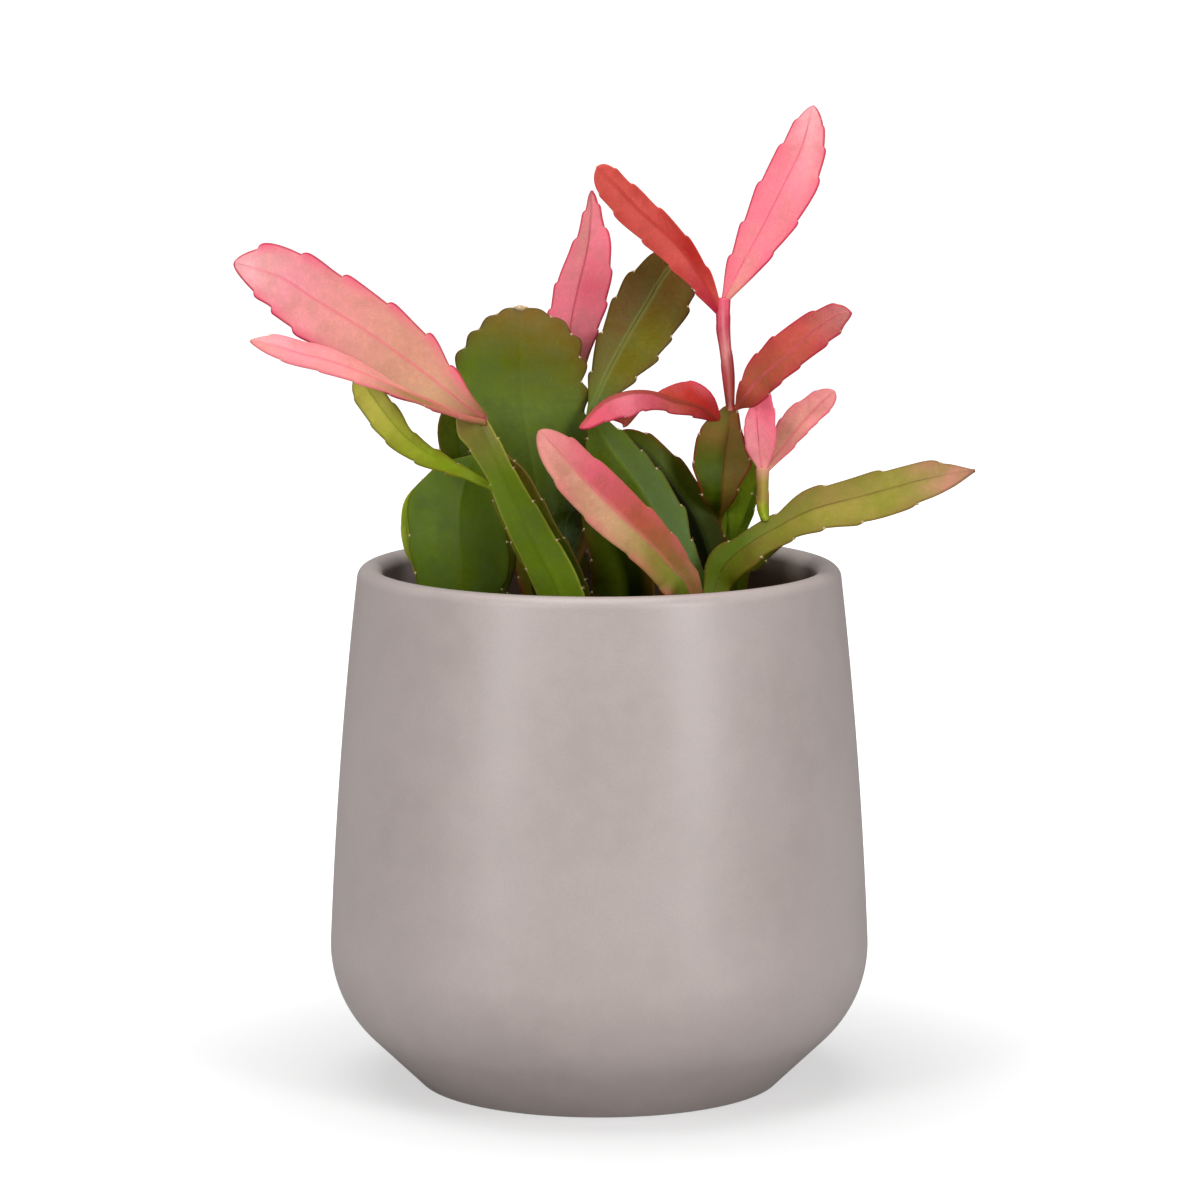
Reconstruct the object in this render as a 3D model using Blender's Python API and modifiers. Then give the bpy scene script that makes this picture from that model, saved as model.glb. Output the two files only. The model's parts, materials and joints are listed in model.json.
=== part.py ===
"""A rhipsalis with flat, toothed stem segments, growing in a rounded stoneware pot.

Origin: centre of the pot's underside. +Z is up and the plant's front faces -Y.
Lengths in the tables below are millimetres; MM turns them into Blender's metres.
"""

import math

import bmesh
import bpy
import numpy as np
from mathutils import Vector

MM = 0.001

# Pot: a foot disc, a cone that opens to a round belly, and a wall that leans in to a rolled lip
POT_HEIGHT = 139.9
FOOT_RADIUS = 48.2
FOOT_EDGE_RADIUS = 1.3
CONE_ANGLE = 43.9
CONE_LENGTH = 19.0
BELLY_RADIUS = 33.1
BELLY_END_ANGLE = 92.4
WALL_LEAN_RADIUS = 1370.0
LIP_RADIUS = 3.3
LIP_DROP = 2.65
WALL = 2 * LIP_RADIUS
FLOOR = 9.0
ROUND_STEPS = 40

# Potting mix: fills the pot to below the lip
SOIL_BELOW_RIM = 27.2
SOIL_DOME = 2.0
SOIL_LEVEL = POT_HEIGHT - SOIL_BELOW_RIM
SOIL_RINGS = (0.0, 30.0, 50.0)
CLEARANCE = 0.3
HOLE_RADIUS = 1.9
HOLE_DEPTH = 8.0
HOLE_SIDES = 12

# Stem segments: thin blades with a midrib, two halves and toothed margins
BLADE_THICKNESS = 1.2
NECK_DEPTH = HOLE_DEPTH - 0.4
NECK_HALF_WIDTH = 1.2
TIP_HALF_WIDTH = 0.4
TOOTH_DEPTH = 0.8
TOOTH_FULL_LENGTH = 9.0
TOOTH_LEAN = 2.5
TOOTH_ROWS = (0.0, 0.45, 0.8)
TIP_ROWS = (0.0, 0.45, 0.75, 0.92, 1.0)
HALF_COLUMNS = 2
RIB_SAMPLES = 240
FRONT = np.array((0.0, -1.0, 0.0))
FRONT_AND_UP = np.array((0.0, -1.0, 1.0))

# Colours, linear
STONEWARE = (0.44, 0.38, 0.35, 1.0)
POTTING_MIX = (0.045, 0.028, 0.018, 1.0)
PINK = (0.86, 0.28, 0.30, 1.0)
ROSE = (0.80, 0.17, 0.22, 1.0)
CORAL = (0.68, 0.10, 0.08, 1.0)
RUST = (0.50, 0.11, 0.07, 1.0)
YELLOW_GREEN = (0.35, 0.37, 0.06, 1.0)
OLIVE = (0.20, 0.20, 0.05, 1.0)
GREEN = (0.09, 0.17, 0.035, 1.0)
DARK_GREEN = (0.05, 0.09, 0.02, 1.0)


def material(name, colour, roughness):
    """A plain finish for one piece."""
    made = bpy.data.materials.new(name)
    made.use_nodes = True
    shader = made.node_tree.nodes["Principled BSDF"]
    shader.inputs["Base Color"].default_value = colour
    shader.inputs["Roughness"].default_value = roughness
    shader.inputs["Metallic"].default_value = 0.0
    return made


def add_piece(name, data, collection, colour, roughness):
    """An object for one piece, in its collection and with its own material."""
    piece = bpy.data.objects.new(name, data)
    collection.objects.link(piece)
    piece.data.materials.append(material(name + "_finish", colour, roughness))
    return piece


# Turned pieces

def turned(name, profile, collection, colour, roughness):
    """Turns a profile of (radius, height), top of the outside first, about the pot's axis."""
    mesh = bpy.data.meshes.new(name)
    points = [(r * MM, 0.0, z * MM) for r, z in profile]
    edges = [(i, i + 1) for i in range(len(points) - 1)]
    mesh.from_pydata(points, edges, [])
    piece = add_piece(name, mesh, collection, colour, roughness)
    screw = piece.modifiers.new("Turn", "SCREW")
    screw.steps = ROUND_STEPS
    screw.render_steps = ROUND_STEPS
    screw.use_merge_vertices = True
    screw.merge_threshold = 0.00005
    screw.use_smooth_shade = True
    return piece


def walk_arc(path, radius, turn, steps):
    """Adds an arc to a path of (r, z, heading in degrees), turning left by the given angle."""
    r, z, heading = path[-1]
    centre_r = r - radius * math.sin(math.radians(heading))
    centre_z = z + radius * math.cos(math.radians(heading))
    for step in range(1, steps + 1):
        angle = heading + turn * step / steps
        side_r = radius * math.sin(math.radians(angle))
        side_z = radius * math.cos(math.radians(angle))
        path.append((centre_r + side_r, centre_z - side_z, angle))


def outer_wall():
    """The pot's outside from the foot up to where the lip starts."""
    foot_flat = FOOT_RADIUS - FOOT_EDGE_RADIUS * math.tan(math.radians(CONE_ANGLE / 2))
    path = [(foot_flat, 0.0, 0.0)]
    walk_arc(path, FOOT_EDGE_RADIUS, CONE_ANGLE, 2)
    r, z, heading = path[-1]
    run = CONE_LENGTH * math.cos(math.radians(heading))
    rise = CONE_LENGTH * math.sin(math.radians(heading))
    path.append((r + run, z + rise, heading))
    walk_arc(path, BELLY_RADIUS, BELLY_END_ANGLE - CONE_ANGLE, 6)
    climb = POT_HEIGHT - LIP_DROP - path[-1][1]
    lean = math.degrees(climb / WALL_LEAN_RADIUS)
    walk_arc(path, WALL_LEAN_RADIUS, lean, 4)
    return path


def inner_wall(distance, floor):
    """The outside moved inwards by a distance, from the lip down to where it meets a floor."""
    points = []
    for r, z, heading in outer_wall():
        inner_r = r - distance * math.sin(math.radians(heading))
        inner_z = z + distance * math.cos(math.radians(heading))
        if inner_z > floor + 1.0:
            points.append((inner_r, inner_z))
    return points[::-1]


def build_pot(collection):
    """The pot: floor centre, up the inside, over the lip, down the outside, underside centre."""
    inside = inner_wall(WALL, FLOOR)
    lip = outer_wall()[-1:]
    walk_arc(lip, LIP_RADIUS, 180.0, 8)
    floor_edge = (inside[-1][0] - 2.0, FLOOR)
    up_the_inside = [(0.0, FLOOR), floor_edge] + inside[::-1]
    over_the_lip = [(r, z) for r, z, _ in lip[::-1]][1:-1]
    down_the_outside = [(r, z) for r, z, _ in outer_wall()[::-1]]
    profile = up_the_inside + over_the_lip + down_the_outside + [(0.0, 0.0)]
    return turned("ceramic_pot", profile, collection, STONEWARE, 0.55)


def soil_height(radius):
    """The top of the potting mix: a low dome that sinks towards the wall."""
    rim = inner_wall(WALL, FLOOR)[0][0]
    return SOIL_LEVEL + SOIL_DOME * (1 - (radius / rim) ** 2)


def build_soil(collection, cutters, roots):
    """The potting mix, with a plain round hole for each segment that is rooted in it."""
    gap = WALL + CLEARANCE
    bottom = FLOOR + CLEARANCE
    wall = inner_wall(gap, bottom)
    heights = [z for r, z in wall]
    edge_r = np.interp(SOIL_LEVEL, heights[::-1], [r for r, z in wall][::-1])
    side = [(r, z) for r, z in wall if z < SOIL_LEVEL - 3.0][::2]
    top = [(r, soil_height(r)) for r in SOIL_RINGS]
    profile = top + [(edge_r, SOIL_LEVEL)] + side + [(side[-1][0] - 2.0, bottom), (0.0, bottom)]
    soil = turned("potting_mix", profile, collection, POTTING_MIX, 0.95)
    for number, (x, y) in enumerate(roots):
        surface = soil_height(math.hypot(x, y))
        hole_top = surface + HOLE_DEPTH
        hole_bottom = surface - HOLE_DEPTH
        bpy.ops.mesh.primitive_cylinder_add(
            vertices=HOLE_SIDES,
            radius=HOLE_RADIUS * MM,
            depth=(hole_top - hole_bottom) * MM,
            location=(x * MM, y * MM, (hole_top + hole_bottom) / 2 * MM),
        )
        cutter = bpy.context.object
        cutter.name = "root_hole_%02d" % number
        cutter.hide_render = True
        cutter.display_type = "WIRE"
        for owner in cutter.users_collection:
            owner.objects.unlink(cutter)
        cutters.objects.link(cutter)
        hole = soil.modifiers.new("Root hole", "BOOLEAN")
        hole.operation = "DIFFERENCE"
        hole.object = cutter
        hole.solver = "EXACT"
    return soil


# Stem segments

def unit(vectors):
    """Vectors of length one."""
    return vectors / np.linalg.norm(vectors, axis=-1, keepdims=True)


def smooth_curve(points, samples):
    """A curve through the points, sampled evenly in each span."""
    points = np.array(points, float)
    ends = np.vstack((2 * points[0] - points[1], points, 2 * points[-1] - points[-2]))
    per_span = samples // (len(points) - 1)
    found = []
    for i in range(len(points) - 1):
        before, start, end, after = ends[i:i + 4]
        for step in range(per_span):
            s = step / per_span
            found.append(0.5 * (
                2 * start
                + (end - before) * s
                + (2 * before - 5 * start + 4 * end - after) * s ** 2
                + (3 * start - before - 3 * end + after) * s ** 3
            ))
    found.append(points[-1])
    return np.array(found)


def eased(fraction, stations, values):
    """Values between stations, with no overshoot."""
    stations = np.array(stations, float)
    values = np.array(values, float)
    steps = np.diff(values) / np.diff(stations)
    slopes = np.zeros(len(values))
    slopes[0] = steps[0]
    slopes[-1] = steps[-1]
    for i in range(1, len(values) - 1):
        if steps[i - 1] * steps[i] > 0:
            slopes[i] = 2 * steps[i - 1] * steps[i] / (steps[i - 1] + steps[i])
    place = np.clip(np.searchsorted(stations, fraction) - 1, 0, len(steps) - 1)
    width = stations[place + 1] - stations[place]
    s = (fraction - stations[place]) / width
    rise = values[place + 1] - values[place]
    start = slopes[place] * width
    end = slopes[place + 1] * width
    return values[place] + s * (start + s * (3 * rise - 2 * start - end + s * (start + end - 2 * rise)))


class Segment:
    """One flat stem segment: a rib in space, with a half-width on each side of it."""

    def __init__(self, name, colour, rib, left, right, notches_left, notches_right,
                 root=None, grows_from=None, seat=CLEARANCE, roll=(0, 0), fold=(0, 0),
                 blunt=0.1, tooth=TOOTH_DEPTH, lean=TOOTH_LEAN, thickness=BLADE_THICKNESS,
                 faces=FRONT):
        self.name = name
        self.colour = colour
        self.root = root
        self.roll = roll
        self.fold = fold
        self.blunt = blunt
        self.tooth = tooth
        self.lean = lean
        self.thickness = thickness
        self.faces = faces
        points = [np.array(p, float) for p in rib]
        widths = [NECK_HALF_WIDTH]
        if root:
            surface = soil_height(math.hypot(*root))
            neck = [(*root, surface - NECK_DEPTH), (*root, surface + 1.0)]
            points = [np.array(p) for p in neck] + points
            widths = [NECK_HALF_WIDTH, NECK_HALF_WIDTH]
        else:
            parent, along, across = grows_from
            anchor = parent.point(along, across)
            points = [anchor + seat * unit(points[0] - anchor)] + points
        self.left = widths + list(left)
        self.right = widths + list(right)
        self.curve = smooth_curve(points, RIB_SAMPLES)
        lengths = np.linalg.norm(np.diff(self.curve, axis=0), axis=1)
        travelled = np.concatenate(((0.0,), np.cumsum(lengths)))
        self.length = travelled[-1]
        self.travelled = travelled / self.length
        spans = len(points) - 1
        per_span = (len(self.curve) - 1) // spans
        self.stations = self.travelled[::per_span]
        self.neck_end = self.stations[1] if root else 0.0
        self.directions = unit(np.gradient(self.curve, axis=0))
        self.notches = {-1: notches_left, 1: notches_right}

    def tooth_bulge(self, along, side):
        """How far the margin stands out between two notches, most near the outer one."""
        ends = np.array([self.neck_end, *self.notches[side]])
        place = np.searchsorted(ends, along, side="right") - 1
        if place >= len(ends) - 1 or place < 0:
            return 0.0
        span = ends[place + 1] - ends[place]
        s = (along - ends[place]) / span
        depth = self.tooth * min(1.0, span * self.length / TOOTH_FULL_LENGTH)
        return depth * math.sin(math.pi * s ** self.lean)

    def into_tip(self, along):
        """How far into the rounded tip: 0 where it starts, 1 at its end."""
        return max(0.0, (along - 1 + self.blunt) / self.blunt)

    def half_width(self, along, side):
        """From the rib to the margin on one side, rounded off at the tip."""
        values = self.left if side < 0 else self.right
        width = float(eased(along, self.stations, values)) + self.tooth_bulge(along, side)
        return max(width * math.sqrt(max(0.0, 1 - self.into_tip(along) ** 2)), TIP_HALF_WIDTH)

    def point(self, along, across):
        """A point of the middle surface: along from neck to tip, across from -1 to 1."""
        spot = np.array([np.interp(along, self.travelled, self.curve[:, k]) for k in range(3)])
        growth = unit(np.array([
            np.interp(along, self.travelled, self.directions[:, k]) for k in range(3)
        ]))
        sideways = unit(np.cross(growth, self.faces))
        facing = np.cross(sideways, growth)
        roll = np.interp(along, np.linspace(0, 1, len(self.roll)), self.roll)
        fold = np.interp(along, np.linspace(0, 1, len(self.fold)), self.fold)
        side = -1 if across < 0 else 1
        angle = math.radians(roll + side * fold)
        reach = self.half_width(along, side) * across
        ahead = self.tooth_bulge(along, side) * self.into_tip(along) * across ** 2
        outwards = math.cos(angle) * sideways + math.sin(angle) * facing
        return spot + reach * outwards + ahead * growth

    def rows(self):
        """Fractions along the left and right margins, three to a tooth and more at the tip."""
        found = []
        for side in (-1, 1):
            ends = [self.neck_end, *self.notches[side], 1.0]
            line = [0.0] if self.root else []
            for start, end in zip(ends[:-2], ends[1:-1]):
                line += [start + (end - start) * s for s in TOOTH_ROWS]
            line += [ends[-2] + (1.0 - ends[-2]) * s for s in TIP_ROWS]
            found.append(line)
        return list(zip(*found))


def blade_mesh(segment):
    """The middle surface of a segment as a grid, bent to its rib, margins and fold."""
    rows = segment.rows()
    grid = bmesh.new()
    bmesh.ops.create_grid(grid, x_segments=2 * HALF_COLUMNS, y_segments=len(rows) - 1, size=1.0)
    for vertex in grid.verts:
        across = round(vertex.co.x * HALF_COLUMNS) / HALF_COLUMNS
        left, right = rows[round((vertex.co.y + 1) / 2 * (len(rows) - 1))]
        middle = (left + right) / 2
        margin = left if across < 0 else right
        along = middle + (margin - middle) * abs(across)
        vertex.co = Vector(segment.point(along, across)) * MM
    mesh = bpy.data.meshes.new(segment.name)
    grid.to_mesh(mesh)
    grid.free()
    return mesh


def build_blade(segment, collection):
    """A segment as a solid: the middle surface split into triangles, then thickened both ways."""
    piece = add_piece(segment.name, blade_mesh(segment), collection, segment.colour, 0.45)
    piece.modifiers.new("Split", "TRIANGULATE")
    thick = piece.modifiers.new("Thickness", "SOLIDIFY")
    thick.thickness = segment.thickness * MM
    thick.offset = 0.0
    piece.data.shade_smooth()
    return piece


def rooted_segments():
    """The segments that stand in the potting mix, front ones first."""
    return [
        Segment(
            "strap_left", OLIVE, root=(-4, -22), roll=(10, 10, -10), fold=(-8, -8), blunt=0.06,
            rib=[(-10.5, -25, 136), (-15.5, -26, 146.5), (-20.5, -27, 156.5), (-25, -27, 166),
                 (-28.5, -26.5, 174.5), (-31.5, -26, 180.5), (-36, -25, 185)],
            left=[6.2, 5.5, 5, 4, 5, 6.3, 5],
            right=[6, 5.5, 4.7, 3.6, 2.8, 2.5, 3],
            notches_left=(0.3, 0.46, 0.6, 0.74, 0.86),
            notches_right=(0.34, 0.5, 0.64, 0.76, 0.86),
            tooth=0.3,
        ),
        Segment(
            "pad_round", GREEN, root=(-11, 13), roll=(5, 5), fold=(-5, -5), blunt=0.2, lean=1.4,
            rib=[(-14, 12, 144), (-16, 12, 156), (-18.5, 11, 168.5),
                 (-20.5, 7, 181), (-21, 4, 192), (-21, 3, 201.5), (-21, 3, 208.5)],
            left=[7, 10.5, 14, 18.5, 17.5, 16, 14.5],
            right=[9.5, 14, 17, 16, 16.5, 18, 16],
            notches_left=(0.3, 0.46, 0.62, 0.76, 0.83, 0.91, 0.985),
            notches_right=(0.26, 0.42, 0.57, 0.7, 0.82, 0.905, 0.965),
            tooth=1.3,
        ),
        Segment(
            "arm_rose_front", PINK, root=(29, -24), roll=(-25, -25), fold=(6, 6), blunt=0.1,
            rib=[(23.5, -29, 137), (19.5, -31, 142.5), (13.5, -34, 149.5),
                 (5, -38, 158), (-4, -42, 167.5), (-15.5, -47, 181)],
            left=[6.4, 6.6, 6.4, 7.2, 7, 4.8],
            right=[3.6, 5.2, 6.5, 7, 6.4, 3.8],
            notches_left=(0.25, 0.42, 0.57, 0.74, 0.87),
            notches_right=(0.3, 0.5, 0.6, 0.82, 0.92),
            tooth=0.6,
        ),
        Segment(
            "strap_glaucous", GREEN, root=(28, 0), roll=(-12, -12), fold=(-5, -5), blunt=0.02,
            rib=[(26, -2, 133), (22, -1, 142.5), (16, 0, 152), (9.5, 1, 162),
                 (3, 2, 170.5), (-0.5, 3, 176.5), (-2.5, 4, 181)],
            left=[5, 7.5, 7.7, 7.9, 6.4, 3, 1.2],
            right=[3.1, 3.9, 7.2, 7, 5.7, 3.7, 1.2],
            notches_left=(0.3, 0.44, 0.58, 0.7, 0.82, 0.92),
            notches_right=(0.37, 0.47, 0.58, 0.72, 0.79, 0.9),
        ),
        Segment(
            "strap_arching", DARK_GREEN, root=(33, 9), roll=(-25, -25), blunt=0.1,
            rib=[(30.5, 9, 136), (29, 10, 143), (25.5, 11, 152), (19.5, 11, 160.5),
                 (13, 10, 168.5), (5.5, 9, 174.5)],
            left=[5, 6, 6.5, 6.5, 5.7, 4],
            right=[4.5, 5.7, 5.8, 5.9, 4.6, 3.5],
            notches_left=(0.3, 0.44, 0.58, 0.72, 0.86),
            notches_right=(0.36, 0.5, 0.66, 0.8, 0.92),
        ),
        Segment(
            "strap_right", OLIVE, root=(25, -9), roll=(20, 30, 30), fold=(10, 10), blunt=0.06,
            rib=[(31, -6, 134), (33.5, -7, 140.5), (40, -9, 146.5), (46.5, -10, 150.5),
                 (56.5, -13, 156), (71, -17, 160.5), (85.5, -21, 165), (98.5, -24, 168)],
            left=[3.2, 4.6, 3.4, 3.3, 5.4, 5.3, 5, 2.6],
            right=[4, 5.4, 5.4, 5.2, 6.2, 7.6, 6.6, 2.8],
            notches_left=(0.2, 0.37, 0.5, 0.63, 0.78, 0.92),
            notches_right=(0.26, 0.42, 0.52, 0.61, 0.71, 0.85),
        ),
        Segment(
            "strap_right_low", DARK_GREEN, root=(38, -2), roll=(25, 25), blunt=0.1,
            rib=[(37.5, 0, 137), (41.5, 1, 141.5), (46, 2, 146), (50.5, 3, 149.5), (55, 4, 153)],
            left=[2.6, 2.8, 2.8, 2.6, 2],
            right=[2.6, 3, 3, 2.6, 2],
            notches_left=(0.3, 0.6, 0.8),
            notches_right=(0.4, 0.7, 0.9),
            tooth=0.4,
        ),
        Segment(
            "strap_right_back", GREEN, root=(36, 17), roll=(15, 15), blunt=0.1,
            rib=[(36.5, 18, 138.5), (38, 19, 146), (40, 18, 155), (41.2, 18, 161.5), (42.3, 18, 167.5)],
            left=[2.2, 3.4, 3.9, 3, 2],
            right=[2, 1.6, 2.6, 2, 1.5],
            notches_left=(0.3, 0.5, 0.7, 0.86),
            notches_right=(0.36, 0.56, 0.76, 0.9),
            tooth=0.4,
        ),
        Segment(
            "pad_left", GREEN, root=(-33, -8), roll=(10, 10), fold=(-6, -6), blunt=0.1, lean=1.6,
            rib=[(-36, -9, 131.5), (-36.5, -9, 139.5), (-37, -9, 147.5), (-37, -8, 155.5),
                 (-35.5, -7, 163), (-32.5, -6, 170.5)],
            left=[11, 13.2, 13.9, 14.3, 10, 1.5],
            right=[9.6, 12.3, 12.7, 11.3, 7.6, 2.5],
            notches_left=(0.28, 0.5, 0.66, 0.84),
            notches_right=(0.22, 0.42, 0.62, 0.82),
            tooth=0.5,
        ),
        Segment(
            "sliver_left", YELLOW_GREEN, root=(-45, 4), roll=(50, 50), blunt=0.12,
            rib=[(-47.5, 1, 137), (-50, 1, 143.5), (-51, 1, 150), (-50.5, 1, 155.5), (-48, 1, 161)],
            left=[3, 3.2, 3, 2.8, 2],
            right=[3, 3.2, 3, 2.8, 2],
            notches_left=(0.35, 0.6, 0.8),
            notches_right=(0.45, 0.7, 0.88),
            tooth=0.3,
        ),
        Segment(
            "blade_left_dark", DARK_GREEN, root=(-27, 3), roll=(-15, -15), blunt=0.15,
            rib=[(-31, 1, 141), (-34.5, 0, 154.5), (-37, -1, 166.5), (-38, -2, 177), (-37.5, -3, 186)],
            left=[3.5, 4.2, 4.6, 5.4, 4.5],
            right=[2.8, 5.4, 5.5, 5.5, 4.5],
            notches_left=(0.3, 0.48, 0.66, 0.82),
            notches_right=(0.38, 0.56, 0.74, 0.9),
        ),
        Segment(
            "strap_left_back", DARK_GREEN, root=(-4, -13), roll=(10, 10), blunt=0.1,
            rib=[(-9.5, -16, 135), (-14, -17, 143.5), (-18, -17, 152), (-22.5, -17, 162.5),
                 (-26.5, -17, 171), (-29, -17, 176.5)],
            left=[6, 6.3, 6.6, 6.5, 5.4, 3],
            right=[6.5, 7.1, 6.2, 5.1, 2.4, 1.6],
            notches_left=(0.28, 0.46, 0.62, 0.78),
            notches_right=(0.4, 0.56, 0.72, 0.88),
            tooth=0.5,
        ),
        Segment(
            "blade_centre_low", DARK_GREEN, root=(8, -12), roll=(5, 5), blunt=0.12,
            rib=[(7, -14, 134), (6, -15, 140.5), (3, -16, 148.5), (0, -16, 155), (-3, -16, 160.5)],
            left=[9, 8, 6, 5, 3.5],
            right=[7.5, 7.1, 5.1, 3.5, 2.5],
            notches_left=(0.3, 0.5, 0.7, 0.86),
            notches_right=(0.4, 0.6, 0.78, 0.9),
            tooth=0.6,
        ),
        Segment(
            "strap_behind_pad", GREEN, root=(-8, 26), roll=(-10, -10), blunt=0.05,
            rib=[(-10, 26, 140), (-12, 25, 158), (-9.5, 21, 176), (-6.5, 18, 186)],
            left=[6.5, 7, 5, 1.4],
            right=[6.5, 7, 4, 1.4],
            notches_left=(0.3, 0.5, 0.7, 0.86),
            notches_right=(0.4, 0.6, 0.78, 0.92),
        ),
        Segment(
            "strap_back_middle", GREEN, root=(10, 24), roll=(15, 15), blunt=0.15,
            rib=[(9.5, 27, 138), (9, 33, 152), (7, 39, 163)],
            left=[6, 7, 4.5],
            right=[6, 7, 4.5],
            notches_left=(0.35, 0.6, 0.82),
            notches_right=(0.45, 0.7, 0.9),
        ),
        Segment(
            "pad_back_left", GREEN, root=(-28, 20), roll=(-12, -12), blunt=0.25, lean=1.6,
            rib=[(-31, 24, 138), (-33, 28, 149), (-34, 31, 160)],
            left=[8, 9.5, 8],
            right=[8, 9.5, 8],
            notches_left=(0.35, 0.55, 0.75, 0.9),
            notches_right=(0.4, 0.62, 0.82, 0.94),
        ),
        Segment(
            "strap_back_right", DARK_GREEN, root=(27, 27), roll=(20, 20), blunt=0.15,
            rib=[(30, 31, 138), (32.5, 35, 151), (33, 38, 162)],
            left=[4.5, 5, 3.5],
            right=[4, 4.4, 3.5],
            notches_left=(0.35, 0.6, 0.82),
            notches_right=(0.45, 0.7, 0.9),
        ),
        Segment(
            "strap_over_back", GREEN, root=(3, 40), roll=(0, 0), fold=(8, 8), blunt=0.12,
            faces=FRONT_AND_UP,
            rib=[(3, 50, 136), (3, 62, 149), (2, 78, 156), (0, 96, 157)],
            left=[5.5, 7, 7.5, 5],
            right=[5.5, 7, 7.5, 5],
            notches_left=(0.3, 0.46, 0.62, 0.78, 0.92),
            notches_right=(0.38, 0.54, 0.7, 0.85, 0.96),
        ),
        Segment(
            "strap_back_left_long", OLIVE, root=(-17, 36), roll=(0, 0), fold=(8, 8), blunt=0.12,
            faces=FRONT_AND_UP,
            rib=[(-20, 45, 138), (-26, 58, 150), (-32, 74, 156), (-37, 88, 157)],
            left=[5, 6.5, 6.5, 4.5],
            right=[5, 6.5, 6.5, 4.5],
            notches_left=(0.3, 0.46, 0.62, 0.78, 0.92),
            notches_right=(0.38, 0.54, 0.7, 0.85, 0.96),
        ),
        Segment(
            "strap_over_back_right", OLIVE, root=(19, 38), roll=(0, 0), fold=(8, 8), blunt=0.12,
            faces=FRONT_AND_UP,
            rib=[(21, 47, 138), (25, 59, 149), (29, 72, 153)],
            left=[4.5, 5.5, 4],
            right=[4.5, 5.5, 4],
            notches_left=(0.35, 0.55, 0.75, 0.9),
            notches_right=(0.45, 0.65, 0.84, 0.95),
        ),
    ]


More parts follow.
